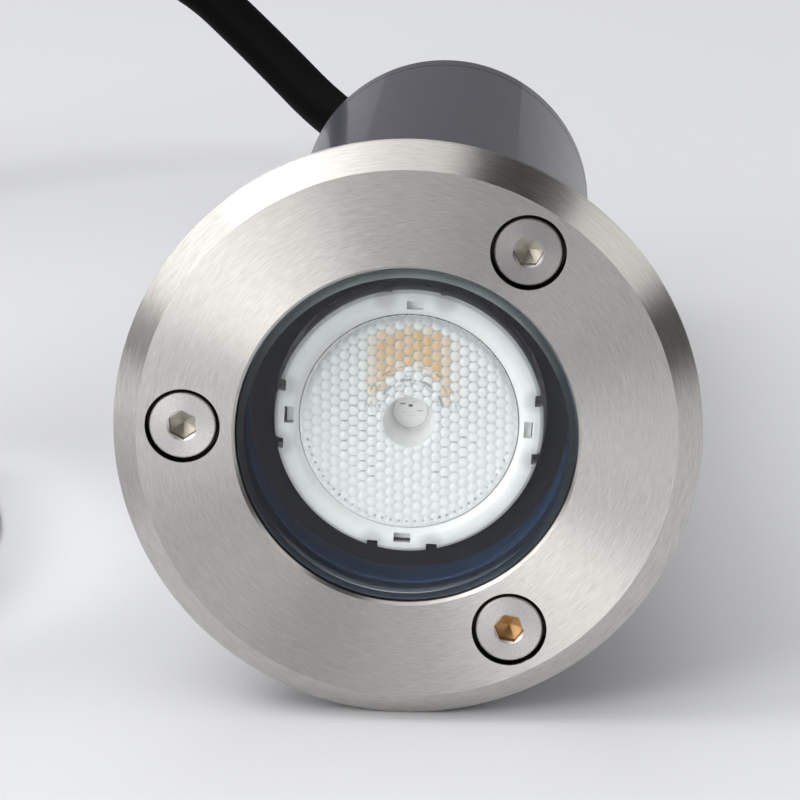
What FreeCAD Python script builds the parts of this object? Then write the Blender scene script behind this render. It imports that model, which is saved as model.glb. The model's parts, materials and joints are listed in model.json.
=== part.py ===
"""In-ground well light: a round lamp that drops into a sleeve in the ground, lying on a table.

Every piece is drawn upright: its own Z runs along the light's axis, out of the lens, and a
piece's height is counted from the underside of the flange. The lamp then lies on its side
on the rim of its bezel and the edge of its rear cap, and its flying lead is coiled beside it.
"""
import FreeCAD, Part
import math
import os

import Sketcher

Vector = FreeCAD.Vector
Rotation = FreeCAD.Rotation
Placement = FreeCAD.Placement

# Driving dimensions in millimetres and degrees: (name, value, what it is).
DRIVING = [
    ("bezel_od", 90.0, "outer diameter of the steel bezel"),
    ("bezel_opening", 52.2, "opening over the glass"),
    ("bezel_thick", 5.2, "bezel, front to back"),
    ("bezel_bevel", 3.8, "45 degree bevel round the bezel"),
    ("screw_pcd", 68.2, "circle of the bezel screws"),
    ("screw_clock", 57.8, "angle of the first bezel screw"),
    ("counterbore_dia", 11.5, "counterbore for a screw head"),
    ("counterbore_deep", 4.2, "depth of that counterbore"),
    ("head_dia", 10.2, "low head of a bezel screw"),
    ("head_high", 3.4, "height of that head"),
    ("key_across", 4.0, "hex socket across its flats"),
    ("key_deep", 2.2, "depth of the hex socket"),
    ("shank_dia", 6.0, "bezel screw shank"),
    ("shank_long", 16.0, "bezel screw shank below the head"),
    ("flange_dia", 88.6, "housing flange"),
    ("flange_thick", 2.4, "housing flange"),
    ("gasket_thick", 1.0, "gasket between bezel and flange"),
    ("body_dia", 56.3, "tube of the body"),
    ("hub_dia", 67.0, "thicker hub behind the flange"),
    ("boss_dia", 12.4, "boss behind the flange for a bezel screw"),
    ("boss_long", 16.0, "length of that boss"),
    ("rib_thick", 2.4, "rib between flange and neck"),
    ("chamber_dia", 52.0, "chamber for the optic"),
    ("housing_deep", 34.0, "front housing behind the flange"),
    ("floor_thick", 4.0, "floor of the optic chamber"),
    ("glass_dia", 60.0, "step of the glass under the bezel"),
    ("glass_step", 4.0, "thickness of that step"),
    ("glass_thick", 8.3, "glass in all"),
    ("glass_seat", 1.6, "gasket under the glass"),
    ("holder_dia", 41.5, "lens holder outside"),
    ("holder_high", 16.7, "lens holder above the circuit board"),
    ("lens_face", 34.0, "lens face inside the holder's lip"),
    ("lens_flange", 37.8, "flange of the lens, held under the lip"),
    ("well_mouth", 8.0, "well in the middle of the lens"),
    ("well_deep", 6.8, "depth of that well"),
    ("arm_half", 4.6, "half the width of a snap arm of the holder"),
    ("slot_wide", 1.4, "slot beside a snap arm"),
    ("board_dia", 39.4, "round circuit board of the chip"),
    ("chip_wide", 7.0, "chip, across"),
    ("carrier_thick", 8.0, "aluminium carrier behind the board"),
    ("pad_thick", 0.3, "thermal pad"),
    ("board_thick", 1.6, "circuit boards"),
    ("joint_thick", 0.8, "flat gaskets at both ends of the tube"),
    ("tube_wall", 2.6, "wall of the tube"),
    ("tube_long", 135.2, "tube between its gaskets"),
    ("port_circle", 43.0, "circle of the screw ports in the tube"),
    ("port_hole", 3.0, "hole of a screw port"),
    ("cap_thick", 6.6, "rear cap"),
    ("cap_round", 1.0, "rounding of its rear edge"),
    ("gland_thread", 20.0, "gland stem through the rear cap"),
    ("gland_hex", 24.0, "hexagons of the gland, across their flats"),
    ("gland_hex_thick", 5.0, "hexagon of the gland body"),
    ("gland_barrel", 11.0, "gland body outside its hexagon"),
    ("washer_thick", 0.8, "flat washer and earth tag"),
    ("nut_dia", 22.5, "dome nut of the gland"),
    ("nut_long", 17.0, "dome nut of the gland"),
    ("cord_dia", 10.0, "rubber lead"),
    ("core_dia", 2.6, "insulated core"),
    ("tie_thick", 1.2, "strap round the coil"),
    ("tie_wide", 5.0, "width of that strap"),
    ("coil_outer", 54.0, "radius at which the coil begins"),
    ("coil_step", 10.6, "from one turn of the coil to the next"),
    ("coil_start_angle", 180.0, "where round its middle the coil begins"),
]

# The coil on the table: its middle, and its quarter turns inward, climbing and outward.
COIL_CENTRE = (-127.0, -45.0)
COIL_QUARTERS_IN = 3
COIL_QUARTERS_CLIMB = 2
COIL_QUARTERS_OUT = 2
COIL_QUARTERS = COIL_QUARTERS_IN + COIL_QUARTERS_CLIMB + COIL_QUARTERS_OUT
TIE_QUARTER = 2.5  # quarter turns from the coil's beginning to the strap


def number(item):
    return item.value if isinstance(item, Size) else float(item)


def formula(item):
    return item.formula if isinstance(item, Size) else repr(float(item))


class Size:
    """A length together with the sheet formula that it follows."""

    def __init__(self, value, formula):
        self.value = value
        self.formula = formula

    def __add__(self, other):
        return Size(self.value + number(other), f"({self.formula} + {formula(other)})")

    def __radd__(self, other):
        return Size(number(other) + self.value, f"({formula(other)} + {self.formula})")

    def __sub__(self, other):
        return Size(self.value - number(other), f"({self.formula} - {formula(other)})")

    def __rsub__(self, other):
        return Size(number(other) - self.value, f"({formula(other)} - {self.formula})")

    def __mul__(self, other):
        return Size(self.value * number(other), f"({self.formula} * {formula(other)})")

    def __truediv__(self, other):
        return Size(self.value / number(other), f"({self.formula} / {formula(other)})")


doc = FreeCAD.newDocument("well_light")
sheet = doc.addObject("Spreadsheet::Sheet", "Sheet")
size = {}
for row, (name, value, words) in enumerate(DRIVING, start=1):
    sheet.set(f"A{row}", str(value))
    sheet.set(f"B{row}", words)
    sheet.setAlias(f"A{row}", name)
    size[name] = Size(value, f"Sheet.{name}")
doc.recompute()

# Heights above the underside of the flange, along the light's axis.
flange_top = size["flange_thick"]
bezel_foot = flange_top + size["gasket_thick"]
face = bezel_foot + size["bezel_thick"]
head_foot = face - 0.3 - size["head_high"]
screw_tip = head_foot - size["shank_long"]
seat = 0.0 - size["glass_seat"]
chamber_floor = size["floor_thick"] - size["housing_deep"]
carrier_top = chamber_floor + size["carrier_thick"]
board_foot = carrier_top + size["pad_thick"]
board_top = board_foot + size["board_thick"]
housing_foot = 0.0 - size["housing_deep"]
tube_top = housing_foot - size["joint_thick"]
tube_foot = tube_top - size["tube_long"]
cap_top = tube_foot - size["joint_thick"]
cap_foot = cap_top - size["cap_thick"]
gland_foot = cap_foot - size["washer_thick"] - size["gland_hex_thick"]
nut_foot = gland_foot - 0.4 - size["nut_long"]

pieces = {}


# ---- helpers ------------------------------------------------------------------------------

def origin_plane(body, role):
    for feature in body.Origin.OriginFeatures:
        if feature.Role == role:
            return feature
    raise ValueError(role)


def new_body(name, height=0.0, turn=0.0):
    body = doc.addObject("PartDesign::Body", name)
    body.Label = name
    body.AllowCompound = True
    pieces[name] = (body, Placement(Vector(0, 0, number(height)), Rotation()), turn)
    return body


def new_sketch(body, name, role="XY_Plane", height=0.0):
    sketch = body.newObject("Sketcher::SketchObject", name)
    sketch.AttachmentSupport = (origin_plane(body, role), [""])
    sketch.MapMode = "FlatFace"
    if isinstance(height, Size) or height:
        sketch.AttachmentOffset = Placement(Vector(0, 0, number(height)), Rotation())
        sketch.setExpression("AttachmentOffset.Base.z", formula(height))
    return sketch


def bind(sketch, kind, *parts):
    """Adds a constraint whose last part is a Size or a number, and ties it to the sheet."""
    *where, amount = parts
    index = sketch.addConstraint(Sketcher.Constraint(kind, *where, number(amount)))
    if isinstance(amount, Size):
        sketch.setExpression(f"Constraints[{index}]", formula(amount))


def pin_point(sketch, edge, end, x, y):
    """Fixes one end of an edge at x, y from the sketch's origin."""
    for kind, axis, amount in (("DistanceX", -2, x), ("DistanceY", -1, y)):
        if abs(number(amount)) < 1e-9:
            sketch.addConstraint(Sketcher.Constraint("PointOnObject", edge, end, axis))
        elif number(amount) < 0:
            bind(sketch, kind, edge, end, -1, 1, 0.0 - amount)
        else:
            bind(sketch, kind, -1, 1, edge, end, amount)


def outline(sketch, corners):
    """A closed outline of straight edges through (x, y) corners, each tied to the sheet."""
    first = sketch.GeometryCount
    spots = [Vector(number(x), number(y), 0) for x, y in corners]
    for index, spot in enumerate(spots):
        sketch.addGeometry(Part.LineSegment(spot, spots[(index + 1) % len(spots)]), False)
    for index in range(len(spots)):
        following = first + (index + 1) % len(spots)
        sketch.addConstraint(Sketcher.Constraint("Coincident", first + index, 2, following, 1))
    for index, (x, y) in enumerate(corners):
        pin_point(sketch, first + index, 1, x, y)


def rectangle(sketch, low, high):
    outline(sketch, [(low[0], low[1]), (high[0], low[1]), (high[0], high[1]), (low[0], high[1])])


def circles(sketch, spots):
    """Circles given as (x, y, diameter)."""
    for x, y, across in spots:
        place = Vector(number(x), number(y), 0)
        edge = sketch.addGeometry(Part.Circle(place, Vector(0, 0, 1), number(across) / 2), False)
        pin_point(sketch, edge, 3, x, y)
        bind(sketch, "Diameter", edge, across)


def hexagon(sketch, across):
    """A regular hexagon about the origin with a corner on the X axis."""
    corner = number(across) / math.sqrt(3)
    spots = [Vector(corner * math.cos(k * math.pi / 3), corner * math.sin(k * math.pi / 3), 0)
             for k in range(6)]
    for k in range(6):
        sketch.addGeometry(Part.LineSegment(spots[k], spots[(k + 1) % 6]), False)
    ring = sketch.addGeometry(Part.Circle(Vector(0, 0, 0), Vector(0, 0, 1), corner), True)
    sketch.addConstraint(Sketcher.Constraint("Coincident", ring, 3, -1, 1))
    for k in range(6):
        sketch.addConstraint(Sketcher.Constraint("Coincident", k, 2, (k + 1) % 6, 1))
        sketch.addConstraint(Sketcher.Constraint("PointOnObject", k, 1, ring))
    for k in range(5):
        sketch.addConstraint(Sketcher.Constraint("Equal", k, k + 1))
    sketch.addConstraint(Sketcher.Constraint("PointOnObject", 0, 1, -1))
    bind(sketch, "Radius", ring, across * (1 / math.sqrt(3)))


def turned(name, corners, height=0.0, turn=0.0):
    """A piece turned about its own Z from an outline of (radius, height) corners."""
    body = new_body(name, height, turn)
    sketch = new_sketch(body, name + "_profile", "XZ_Plane")
    outline(sketch, corners)
    lathe = body.newObject("PartDesign::Revolution", name + "_turned")
    lathe.Profile = sketch
    lathe.ReferenceAxis = (sketch, ["V_Axis"])
    lathe.Angle = 360.0
    body.Tip = lathe
    doc.recompute()
    return body


def raised(body, sketch, length, name, symmetric=False):
    pad = body.newObject("PartDesign::Pad", name)
    pad.Profile = sketch
    pad.Length = number(length)
    pad.setExpression("Length", formula(length))
    pad.Midplane = symmetric
    body.Tip = pad
    doc.recompute()
    return pad


def sunk(body, sketch, length, name, upward=False):
    """A pocket that has to take some of the solid away."""
    before = body.Shape.Volume
    pocket = body.newObject("PartDesign::Pocket", name)
    pocket.Profile = sketch
    pocket.Length = number(length)
    pocket.setExpression("Length", formula(length))
    pocket.Reversed = upward
    body.Tip = pocket
    doc.recompute()
    if body.Shape.Volume > before - 1e-3:
        raise ValueError(f"{name} cuts nothing")
    return pocket


def around(body, features, count, name):
    """Repeats features about the body's own Z axis."""
    pattern = body.newObject("PartDesign::PolarPattern", name)
    pattern.Originals = features
    pattern.Axis = (origin_plane(body, "Z_Axis"), [""])
    pattern.Angle = 360.0
    pattern.Occurrences = count
    body.Tip = pattern
    doc.recompute()


def ring(name, outer, inner, thick, height, turn=0.0):
    """A flat ring, given by its two diameters."""
    corners = [(inner / 2, 0.0), (outer / 2, 0.0), (outer / 2, thick), (inner / 2, thick)]
    return turned(name, corners, height, turn)


# ---- bezel and its screws -----------------------------------------------------------------

def make_bezel():
    """Steel ring with a wide bevel, a stepped opening and three counterbored holes."""
    rim = size["bezel_od"] / 2
    opening = size["bezel_opening"] / 2
    thick = size["bezel_thick"]
    rebate = size["glass_dia"] / 2 + 0.3
    step = size["glass_step"] - bezel_foot
    body = turned("bezel", [
        (rebate, 0.0),
        (rim, 0.0),
        (rim, thick - size["bezel_bevel"]),
        (rim - size["bezel_bevel"], thick),
        (opening + 0.5, thick),
        (opening, thick - 0.5),
        (opening, step),
        (rebate, step),
    ], bezel_foot, size["screw_clock"].value)
    for name, across, deep in (("counterbore", size["counterbore_dia"], size["counterbore_deep"]),
                               ("clearance", size["shank_dia"] + 0.4, thick + 1.0)):
        sketch = new_sketch(body, f"bezel_{name}_circle", height=thick)
        circles(sketch, [(size["screw_pcd"] / 2, 0.0, across)])
        hole = sunk(body, sketch, deep, f"bezel_{name}")
        around(body, [hole], 3, f"bezel_{name}s")


def make_bezel_screw(index, turn):
    """Low-headed hex socket screw; turn sets where the corners of its socket point."""
    name = f"bezel_screw_{index + 1}"
    shank = size["shank_dia"] / 2
    head = size["head_dia"] / 2
    top = size["shank_long"] + size["head_high"]
    body = turned(name, [
        (0.0, 0.0),
        (shank - 0.8, 0.0),
        (shank, 0.8),
        (shank, size["shank_long"]),
        (head - 0.2, size["shank_long"]),
        (head, size["shank_long"] + 0.2),
        (head, top - 0.3),
        (head - 0.3, top),
        (0.0, top),
    ], screw_tip, turn)
    sketch = new_sketch(body, name + "_hexagon", height=top)
    hexagon(sketch, size["key_across"])
    sunk(body, sketch, size["key_deep"], name + "_socket")
    point = new_sketch(body, name + "_drill_point", "XZ_Plane")
    deep = top - size["key_deep"]
    outline(point, [(0.0, deep - 0.9), (size["key_across"] / 2 - 0.1, deep), (0.0, deep)])
    groove = body.newObject("PartDesign::Groove", name + "_drilled")
    groove.Profile = point
    groove.ReferenceAxis = (point, ["V_Axis"])
    groove.Angle = 360.0
    body.Tip = groove
    doc.recompute()


def make_screw_seals():
    """Three flat seals at the bottom of the counterbores."""
    body = new_body("screw_seals", face - size["counterbore_deep"], size["screw_clock"].value)
    sketch = new_sketch(body, "screw_seals_rings")
    place = size["screw_pcd"] / 2
    circles(sketch, [(place, 0.0, size["head_dia"]), (place, 0.0, size["shank_dia"] + 0.5)])
    seal = raised(body, sketch, 0.4, "screw_seal")
    around(body, [seal], 3, "screw_seals_three")


def make_bezel_gasket():
    """Flat rubber gasket between the bezel and the flange."""
    body = ring("bezel_gasket", size["flange_dia"] - 0.4, size["glass_dia"] + 1.6,
                size["gasket_thick"], flange_top, size["screw_clock"].value)
    sketch = new_sketch(body, "bezel_gasket_hole", height=size["gasket_thick"])
    circles(sketch, [(size["screw_pcd"] / 2, 0.0, size["shank_dia"] + 1.0)])
    hole = sunk(body, sketch, size["gasket_thick"] + 1.0, "bezel_gasket_cut")
    around(body, [hole], 3, "bezel_gasket_holes")


# ---- glass and optic ----------------------------------------------------------------------

def make_glass():
    """Stepped walk-over glass: the bezel holds it down by its step."""
    step = size["glass_dia"] / 2
    window = size["bezel_opening"] / 2 - 0.25
    thick = size["glass_thick"]
    turned("glass", [
        (0.0, 0.0),
        (step - 0.4, 0.0),
        (step, 0.4),
        (step, size["glass_step"]),
        (window, size["glass_step"]),
        (window, thick - 0.8),
        (window - 0.8, thick),
        (0.0, thick),
    ])
    ring("glass_gasket", size["glass_dia"], size["chamber_dia"] + 0.4, size["glass_seat"], seat)


def make_baffle():
    """Black ring round the optic on a skirt that stands on the carrier."""
    skirt = size["chamber_dia"] / 2 - 0.2
    top = seat - carrier_top - 0.4
    collar = size["holder_dia"] / 2 + 0.5
    turned("baffle", [
        (skirt - 1.0, 0.0),
        (skirt, 0.0),
        (skirt, top),
        (skirt - 0.8, top),
        (skirt - 1.0, top - 6.4),
        (collar, top - 7.4),
        (collar, top - 8.6),
        (skirt - 1.0, top - 7.8),
    ], carrier_top)


def make_lens_holder():
    """Moulded lens holder: a lipped cup with four snap arms, each with a window."""
    outer = size["holder_dia"] / 2
    high = size["holder_high"]
    lip = size["lens_face"] / 2
    pocket = size["lens_flange"] / 2 + 0.15
    body = turned("lens_holder", [
        (pocket + 0.3, 0.0),
        (outer - 0.9, 0.0),
        (outer - 0.9, high - 4.2),
        (outer, high - 3.8),
        (outer, high - 0.9),
        (outer - 0.5, high - 0.3),
        (outer - 1.4, high),
        (lip + 1.0, high),
        (lip, high - 0.6),
        (lip, high - 1.6),
        (pocket, high - 1.6),
        (pocket, high - 3.5),
        (pocket - 0.8, high - 3.5),
        (pocket - 0.8, high - 4.3),
        (pocket + 0.3, high - 5.4),
    ], board_top, -3.0)
    slots = new_sketch(body, "lens_holder_slots", height=high)
    half_slot = size["slot_wide"] / 2
    for middle in (size["arm_half"], 0.0 - size["arm_half"]):
        rectangle(slots, (outer - 1.3, middle - half_slot), (outer + 1.0, middle + half_slot))
    cut = sunk(body, slots, 12.0, "lens_holder_slot_pair")
    around(body, [cut], 4, "lens_holder_arms")
    window = new_sketch(body, "lens_holder_window", height=high)
    rectangle(window, (lip + 0.5, -1.3), (lip + 2.1, 1.3))
    opening = sunk(body, window, 1.6, "lens_holder_window_cut")
    around(body, [opening], 4, "lens_holder_windows")


def make_tir_lens():
    """Clear lens: flat textured front, a deep well in the middle, a bowl-shaped back."""
    flange = size["lens_flange"] / 2
    rim = size["lens_face"] / 2 - 0.15
    mouth = size["well_mouth"] / 2
    foot = 0.5
    under = size["holder_high"] - foot - 3.5
    top = size["holder_high"] - foot - 0.5
    turned("tir_lens", [
        (0.0, 5.2),
        (4.6, 4.6),
        (5.5, 0.0),
        (6.9, 0.0),
        (9.6, under * 0.25),
        (12.6, under * 0.5),
        (15.4, under * 0.75),
        (flange - 1.4, under),
        (flange, under),
        (flange, under + 1.9),
        (rim, under + 1.9),
        (rim, top),
        (mouth, top),
        (mouth - 0.7, top - size["well_deep"] + 1.2),
        (0.0, top - size["well_deep"]),
    ], board_top + foot, -3.0)


def make_light_engine():
    """Circuit board with its chip, on a thermal pad and an aluminium carrier."""
    carrier = size["chamber_dia"] / 2 - 0.05
    body = turned("led_carrier", [
        (0.0, 0.0), (carrier, 0.0), (carrier, size["carrier_thick"] - 0.5),
        (carrier - 0.5, size["carrier_thick"]), (0.0, size["carrier_thick"]),
    ], chamber_floor, size["screw_clock"].value)
    long_holes = new_sketch(body, "led_carrier_screw_circle", height=size["carrier_thick"])
    circles(long_holes, [(size["port_circle"] / 2, 0.0, 7.0)])
    sink = sunk(body, long_holes, 5.0, "led_carrier_recess")
    around(body, [sink], 3, "led_carrier_recesses")
    through = new_sketch(body, "led_carrier_through_circle", height=size["carrier_thick"])
    circles(through, [(size["port_circle"] / 2, 0.0, size["port_hole"] + 0.6)])
    drill = sunk(body, through, size["carrier_thick"] + 1.0, "led_carrier_drilling")
    around(body, [drill], 3, "led_carrier_drillings")
    wires = new_sketch(body, "led_carrier_wire_hole", height=size["carrier_thick"])
    circles(wires, [(12.5, 2.2, 2.6), (12.5, -2.2, 2.6)])
    sunk(body, wires, size["carrier_thick"] + 1.0, "led_carrier_wire_drilling")

    for name, across, thick, height in (
            ("thermal_pad", 36.0, size["pad_thick"], carrier_top),
            ("led_board", size["board_dia"], size["board_thick"], board_foot)):
        plate = new_body(name, height, size["screw_clock"].value)
        sketch = new_sketch(plate, name + "_outline")
        circles(sketch, [(0.0, 0.0, across),
                         (12.5, 2.2, 2.6), (12.5, -2.2, 2.6),
                         (0.0, 14.5, 3.2), (0.0, -14.5, 3.2)])
        raised(plate, sketch, thick, name + "_sheet")

    chip = new_body("led_package", board_top, size["screw_clock"].value)
    sketch = new_sketch(chip, "led_package_outline")
    half = size["chip_wide"] / 2
    rectangle(sketch, (0.0 - half, 0.0 - half), (half, half))
    raised(chip, sketch, 1.0, "led_package_ceramic")
    turned("led_phosphor", [(0.0, 0.0), (2.9, 0.0), (2.6, 0.35), (1.4, 0.6), (0.0, 0.7)],
           board_top + 1.0)

    screws = new_body("board_screws", board_top - 5.2, size["screw_clock"].value)
    shanks = new_sketch(screws, "board_screws_shanks")
    spots = [(0.0, 14.5), (0.0, -14.5)]
    circles(shanks, [(x, y, 3.0) for x, y in spots])
    raised(screws, shanks, 5.2, "board_screws_stem")
    heads = new_sketch(screws, "board_screws_heads", height=5.2)
    circles(heads, [(x, y, 5.4) for x, y in spots])
    raised(screws, heads, 1.9, "board_screws_head")
    for x, y in spots:
        tapped = new_sketch(body, f"led_carrier_tapped_{'a' if y > 0 else 'b'}",
                            height=size["carrier_thick"])
        circles(tapped, [(x, y, 3.0)])
        sunk(body, tapped, 4.0, f"led_carrier_tapping_{'a' if y > 0 else 'b'}")


# ---- housing ------------------------------------------------------------------------------

def make_front_housing():
    """Cast front: flange, hub, optic chamber, three screw bosses and stiffening ribs."""
    neck = size["body_dia"] / 2
    hub = size["hub_dia"] / 2
    deep = size["housing_deep"]
    flange = size["flange_dia"] / 2
    top = deep + size["flange_thick"]
    pocket = size["glass_dia"] / 2 + 0.3
    chamber = size["chamber_dia"] / 2
    body = turned("front_housing", [
        (15.0, 0.0),
        (neck, 0.0),
        (neck, 20.0),
        (hub, 25.5),
        (hub, deep),
        (flange, deep),
        (flange, top),
        (pocket, top),
        (pocket, deep - size["glass_seat"]),
        (chamber, deep - size["glass_seat"]),
        (chamber, size["floor_thick"]),
        (15.0, size["floor_thick"]),
    ], housing_foot, size["screw_clock"].value)
    place = size["screw_pcd"] / 2
    bosses = new_sketch(body, "front_housing_boss_circle", height=deep - size["boss_long"])
    circles(bosses, [(place, 0.0, size["boss_dia"])])
    boss = raised(body, bosses, size["boss_long"], "front_housing_boss")
    around(body, [boss], 3, "front_housing_bosses")
    ribs = new_sketch(body, "front_housing_rib_shape", "XZ_Plane")
    outline(ribs, [(27.5, 15.0), (42.0, deep), (31.5, deep), (27.5, deep - 4.0)])
    rib = raised(body, ribs, size["rib_thick"], "front_housing_rib", symmetric=True)
    around(body, [rib], 9, "front_housing_ribs")
    recess = new_sketch(body, "front_housing_seat_circle", height=top)
    circles(recess, [(0.0, 0.0, pocket * 2)])
    sunk(body, recess, size["flange_thick"] + size["glass_seat"], "front_housing_seat")
    tapped = new_sketch(body, "front_housing_tapped_circle", height=top)
    circles(tapped, [(place, 0.0, size["shank_dia"] + 0.1)])
    hole = sunk(body, tapped, top - deep + 13.5, "front_housing_tapping")
    around(body, [hole], 3, "front_housing_tappings")
    through = new_sketch(body, "front_housing_through_circle", height=size["floor_thick"])
    circles(through, [(size["port_circle"] / 2, 0.0, size["port_hole"] + 0.6)])
    drill = sunk(body, through, size["floor_thick"] + 1.0, "front_housing_drilling")
    around(body, [drill], 3, "front_housing_drillings")


def make_joint_gasket(name, height):
    """Flat ring between the tube and what closes it, with the three screw holes."""
    body = ring(name, size["body_dia"], 33.4, size["joint_thick"], height,
                size["screw_clock"].value)
    sketch = new_sketch(body, name + "_hole", height=size["joint_thick"])
    circles(sketch, [(size["port_circle"] / 2, 0.0, size["port_hole"] + 0.6)])
    hole = sunk(body, sketch, size["joint_thick"] + 1.0, name + "_cut")
    around(body, [hole], 3, name + "_holes")


def make_body_tube():
    """Extruded tube with three screw ports along its wall."""
    body = new_body("body_tube", tube_foot, size["screw_clock"].value)
    wall = new_sketch(body, "body_tube_wall")
    circles(wall, [(0.0, 0.0, size["body_dia"]),
                   (0.0, 0.0, size["body_dia"] - size["tube_wall"] * 2)])
    raised(body, wall, size["tube_long"], "body_tube_extrusion")
    lobe = new_sketch(body, "body_tube_port")
    circles(lobe, [(size["port_circle"] / 2, 0.0, 8.6)])
    port = raised(body, lobe, size["tube_long"], "body_tube_port_rib")
    around(body, [port], 3, "body_tube_ports")
    bore = new_sketch(body, "body_tube_port_bore", height=size["tube_long"])
    circles(bore, [(size["port_circle"] / 2, 0.0, size["port_hole"])])
    hole = sunk(body, bore, size["tube_long"] + 1.0, "body_tube_port_hole")
    around(body, [hole], 3, "body_tube_port_holes")


def make_rear_cap():
    """Cap with a rounded edge, three sunk screws and the gland's hole in the middle."""
    outer = size["body_dia"] / 2
    thick = size["cap_thick"]
    body = turned("rear_cap", [
        (size["gland_thread"] / 2 + 0.1, 0.0),
        (outer, 0.0),
        (outer, thick),
        (16.6, thick),
        (16.6, 3.4),
        (size["gland_thread"] / 2 + 0.1, 3.4),
    ], cap_foot, size["screw_clock"].value)
    turning = body.Tip
    for index, edge in enumerate(body.Shape.Edges, start=1):
        curve = edge.Curve
        round_edge = isinstance(curve, Part.Circle) and abs(curve.Radius - outer.value) < 1e-3
        if round_edge and abs(curve.Center.z) < 1e-3:
            rounding = body.newObject("PartDesign::Fillet", "rear_cap_edge")
            rounding.Base = (turning, [f"Edge{index}"])
            rounding.setExpression("Radius", "Sheet.cap_round")
            body.Tip = rounding
            break
    doc.recompute()
    for name, across, deep in (("sink", 6.4, 3.6),
                               ("through", size["port_hole"] + 0.6, thick + 1.0)):
        sketch = new_sketch(body, f"rear_cap_{name}_circle")
        circles(sketch, [(size["port_circle"] / 2, 0.0, across)])
        hole = sunk(body, sketch, deep, f"rear_cap_{name}", upward=True)
        around(body, [hole], 3, f"rear_cap_{name}s")


def make_port_screws(name, seat_height, length, backwards=False):
    """Three cap screws in the tube's ports; backwards turns their heads to the rear."""
    body = new_body(name)
    place = size["port_circle"] / 2
    stem = new_sketch(body, name + "_stems")
    circles(stem, [(place, 0.0, size["port_hole"] - 0.02)])
    shank = raised(body, stem, length, name + "_stem")
    cap = new_sketch(body, name + "_heads", height=length)
    circles(cap, [(place, 0.0, 5.8)])
    head = raised(body, cap, 3.2, name + "_head")
    socket = new_sketch(body, name + "_sockets", height=length + 3.2)
    circles(socket, [(place, 0.0, 2.9)])
    key = sunk(body, socket, 1.6, name + "_socket")
    around(body, [shank, head, key], 3, name + "_three")
    sign = 1 if backwards else -1
    foot = Vector(0, 0, number(seat_height) + sign * number(length))
    own = Placement(foot, Rotation(Vector(1, 0, 0), 180 if backwards else 0))
    pieces[name] = (body, own, size["screw_clock"].value)


# ---- gland --------------------------------------------------------------------------------

def make_gland():
    """Cable gland: stem through the cap, locknut inside, rubber seal and dome nut outside."""
    barrel = size["gland_barrel"]
    stem = size["gland_thread"] / 2 - 0.05
    grip = size["cord_dia"] / 2
    body = turned("gland_body", [
        (7.3, 0.0),
        (8.9, 0.0),
        (8.9, barrel),
        (stem, barrel),
        (stem, barrel + size["gland_hex_thick"] + 11.0),
        (grip + 0.6, barrel + size["gland_hex_thick"] + 11.0),
        (grip + 0.6, 9.4),
        (7.3, 8.0),
    ], gland_foot - barrel, size["screw_clock"].value)
    flats = new_sketch(body, "gland_body_flats", height=barrel)
    hexagon(flats, size["gland_hex"])
    circles(flats, [(0.0, 0.0, 17.0)])
    raised(body, flats, size["gland_hex_thick"], "gland_body_hexagon")
    ring("gland_ring", 25.0, size["gland_thread"] + 0.2, size["washer_thick"],
         cap_foot - size["washer_thick"])
    lock = new_body("gland_locknut", cap_foot + 4.2, size["screw_clock"].value)
    flats = new_sketch(lock, "gland_locknut_flats")
    hexagon(flats, size["gland_hex"])
    circles(flats, [(0.0, 0.0, size["gland_thread"])])
    raised(lock, flats, 4.0, "gland_locknut_plate")
    turned("gland_seal", [
        (grip + 0.02, 0.0), (6.4, 0.0), (7.25, 1.2), (7.25, 9.2), (6.4, 9.6), (grip + 0.02, 9.6),
    ], gland_foot - barrel - 1.6)


def make_gland_nut():
    """Dome nut that squeezes the seal on the lead, with a hexagon for the spanner."""
    long = size["nut_long"]
    outer = size["nut_dia"] / 2
    grip = size["cord_dia"] / 2
    body = turned("gland_nut", [
        (grip + 0.35, 0.0),
        (7.6, 0.0),
        (9.9, 1.4),
        (outer - 0.1, 4.2),
        (outer, 7.5),
        (outer, long),
        (8.95, long),
        (8.95, 5.4),
        (7.2, 3.2),
        (grip + 0.35, 2.4),
    ], nut_foot, 10.0)
    flats = new_sketch(body, "gland_nut_flats", height=7.5)
    hexagon(flats, size["gland_hex"])
    circles(flats, [(0.0, 0.0, 20.0)])
    raised(body, flats, long - 7.5, "gland_nut_hexagon")


# ---- driver -------------------------------------------------------------------------------

def block(name, low, high, foot, tall):
    """A box from its two corners across the axis and its height along it."""
    body = new_body(name, foot, size["screw_clock"].value)
    sketch = new_sketch(body, name + "_outline")
    rectangle(sketch, low, high)
    raised(body, sketch, tall, name + "_block")
    return body


def make_brackets():
    """Two moulded discs that carry the driver board across the tube."""
    for name, height in (("driver_bracket_front", -52.0), ("driver_bracket_rear", -148.0)):
        body = new_body(name, height, size["screw_clock"].value)
        disc = new_sketch(body, name + "_disc")
        circles(disc, [(0.0, 0.0, size["body_dia"] - size["tube_wall"] * 2 - 0.3)])
        raised(body, disc, 3.0, name + "_plate")
        notch = new_sketch(body, name + "_port", height=3.0)
        circles(notch, [(size["port_circle"] / 2, 0.0, 9.4)])
        cut = sunk(body, notch, 4.0, name + "_notch")
        around(body, [cut], 3, name + "_notches")
        slot = new_sketch(body, name + "_board_slot", height=3.0)
        rectangle(slot, (-22.0, -9.6), (22.0, -8.0))
        sunk(body, slot, 4.0, name + "_slot")
        window = new_sketch(body, name + "_wire_window", height=3.0)
        rectangle(window, (-9.0, -5.0), (9.0, 9.0))
        sunk(body, window, 4.0, name + "_window")


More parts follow.
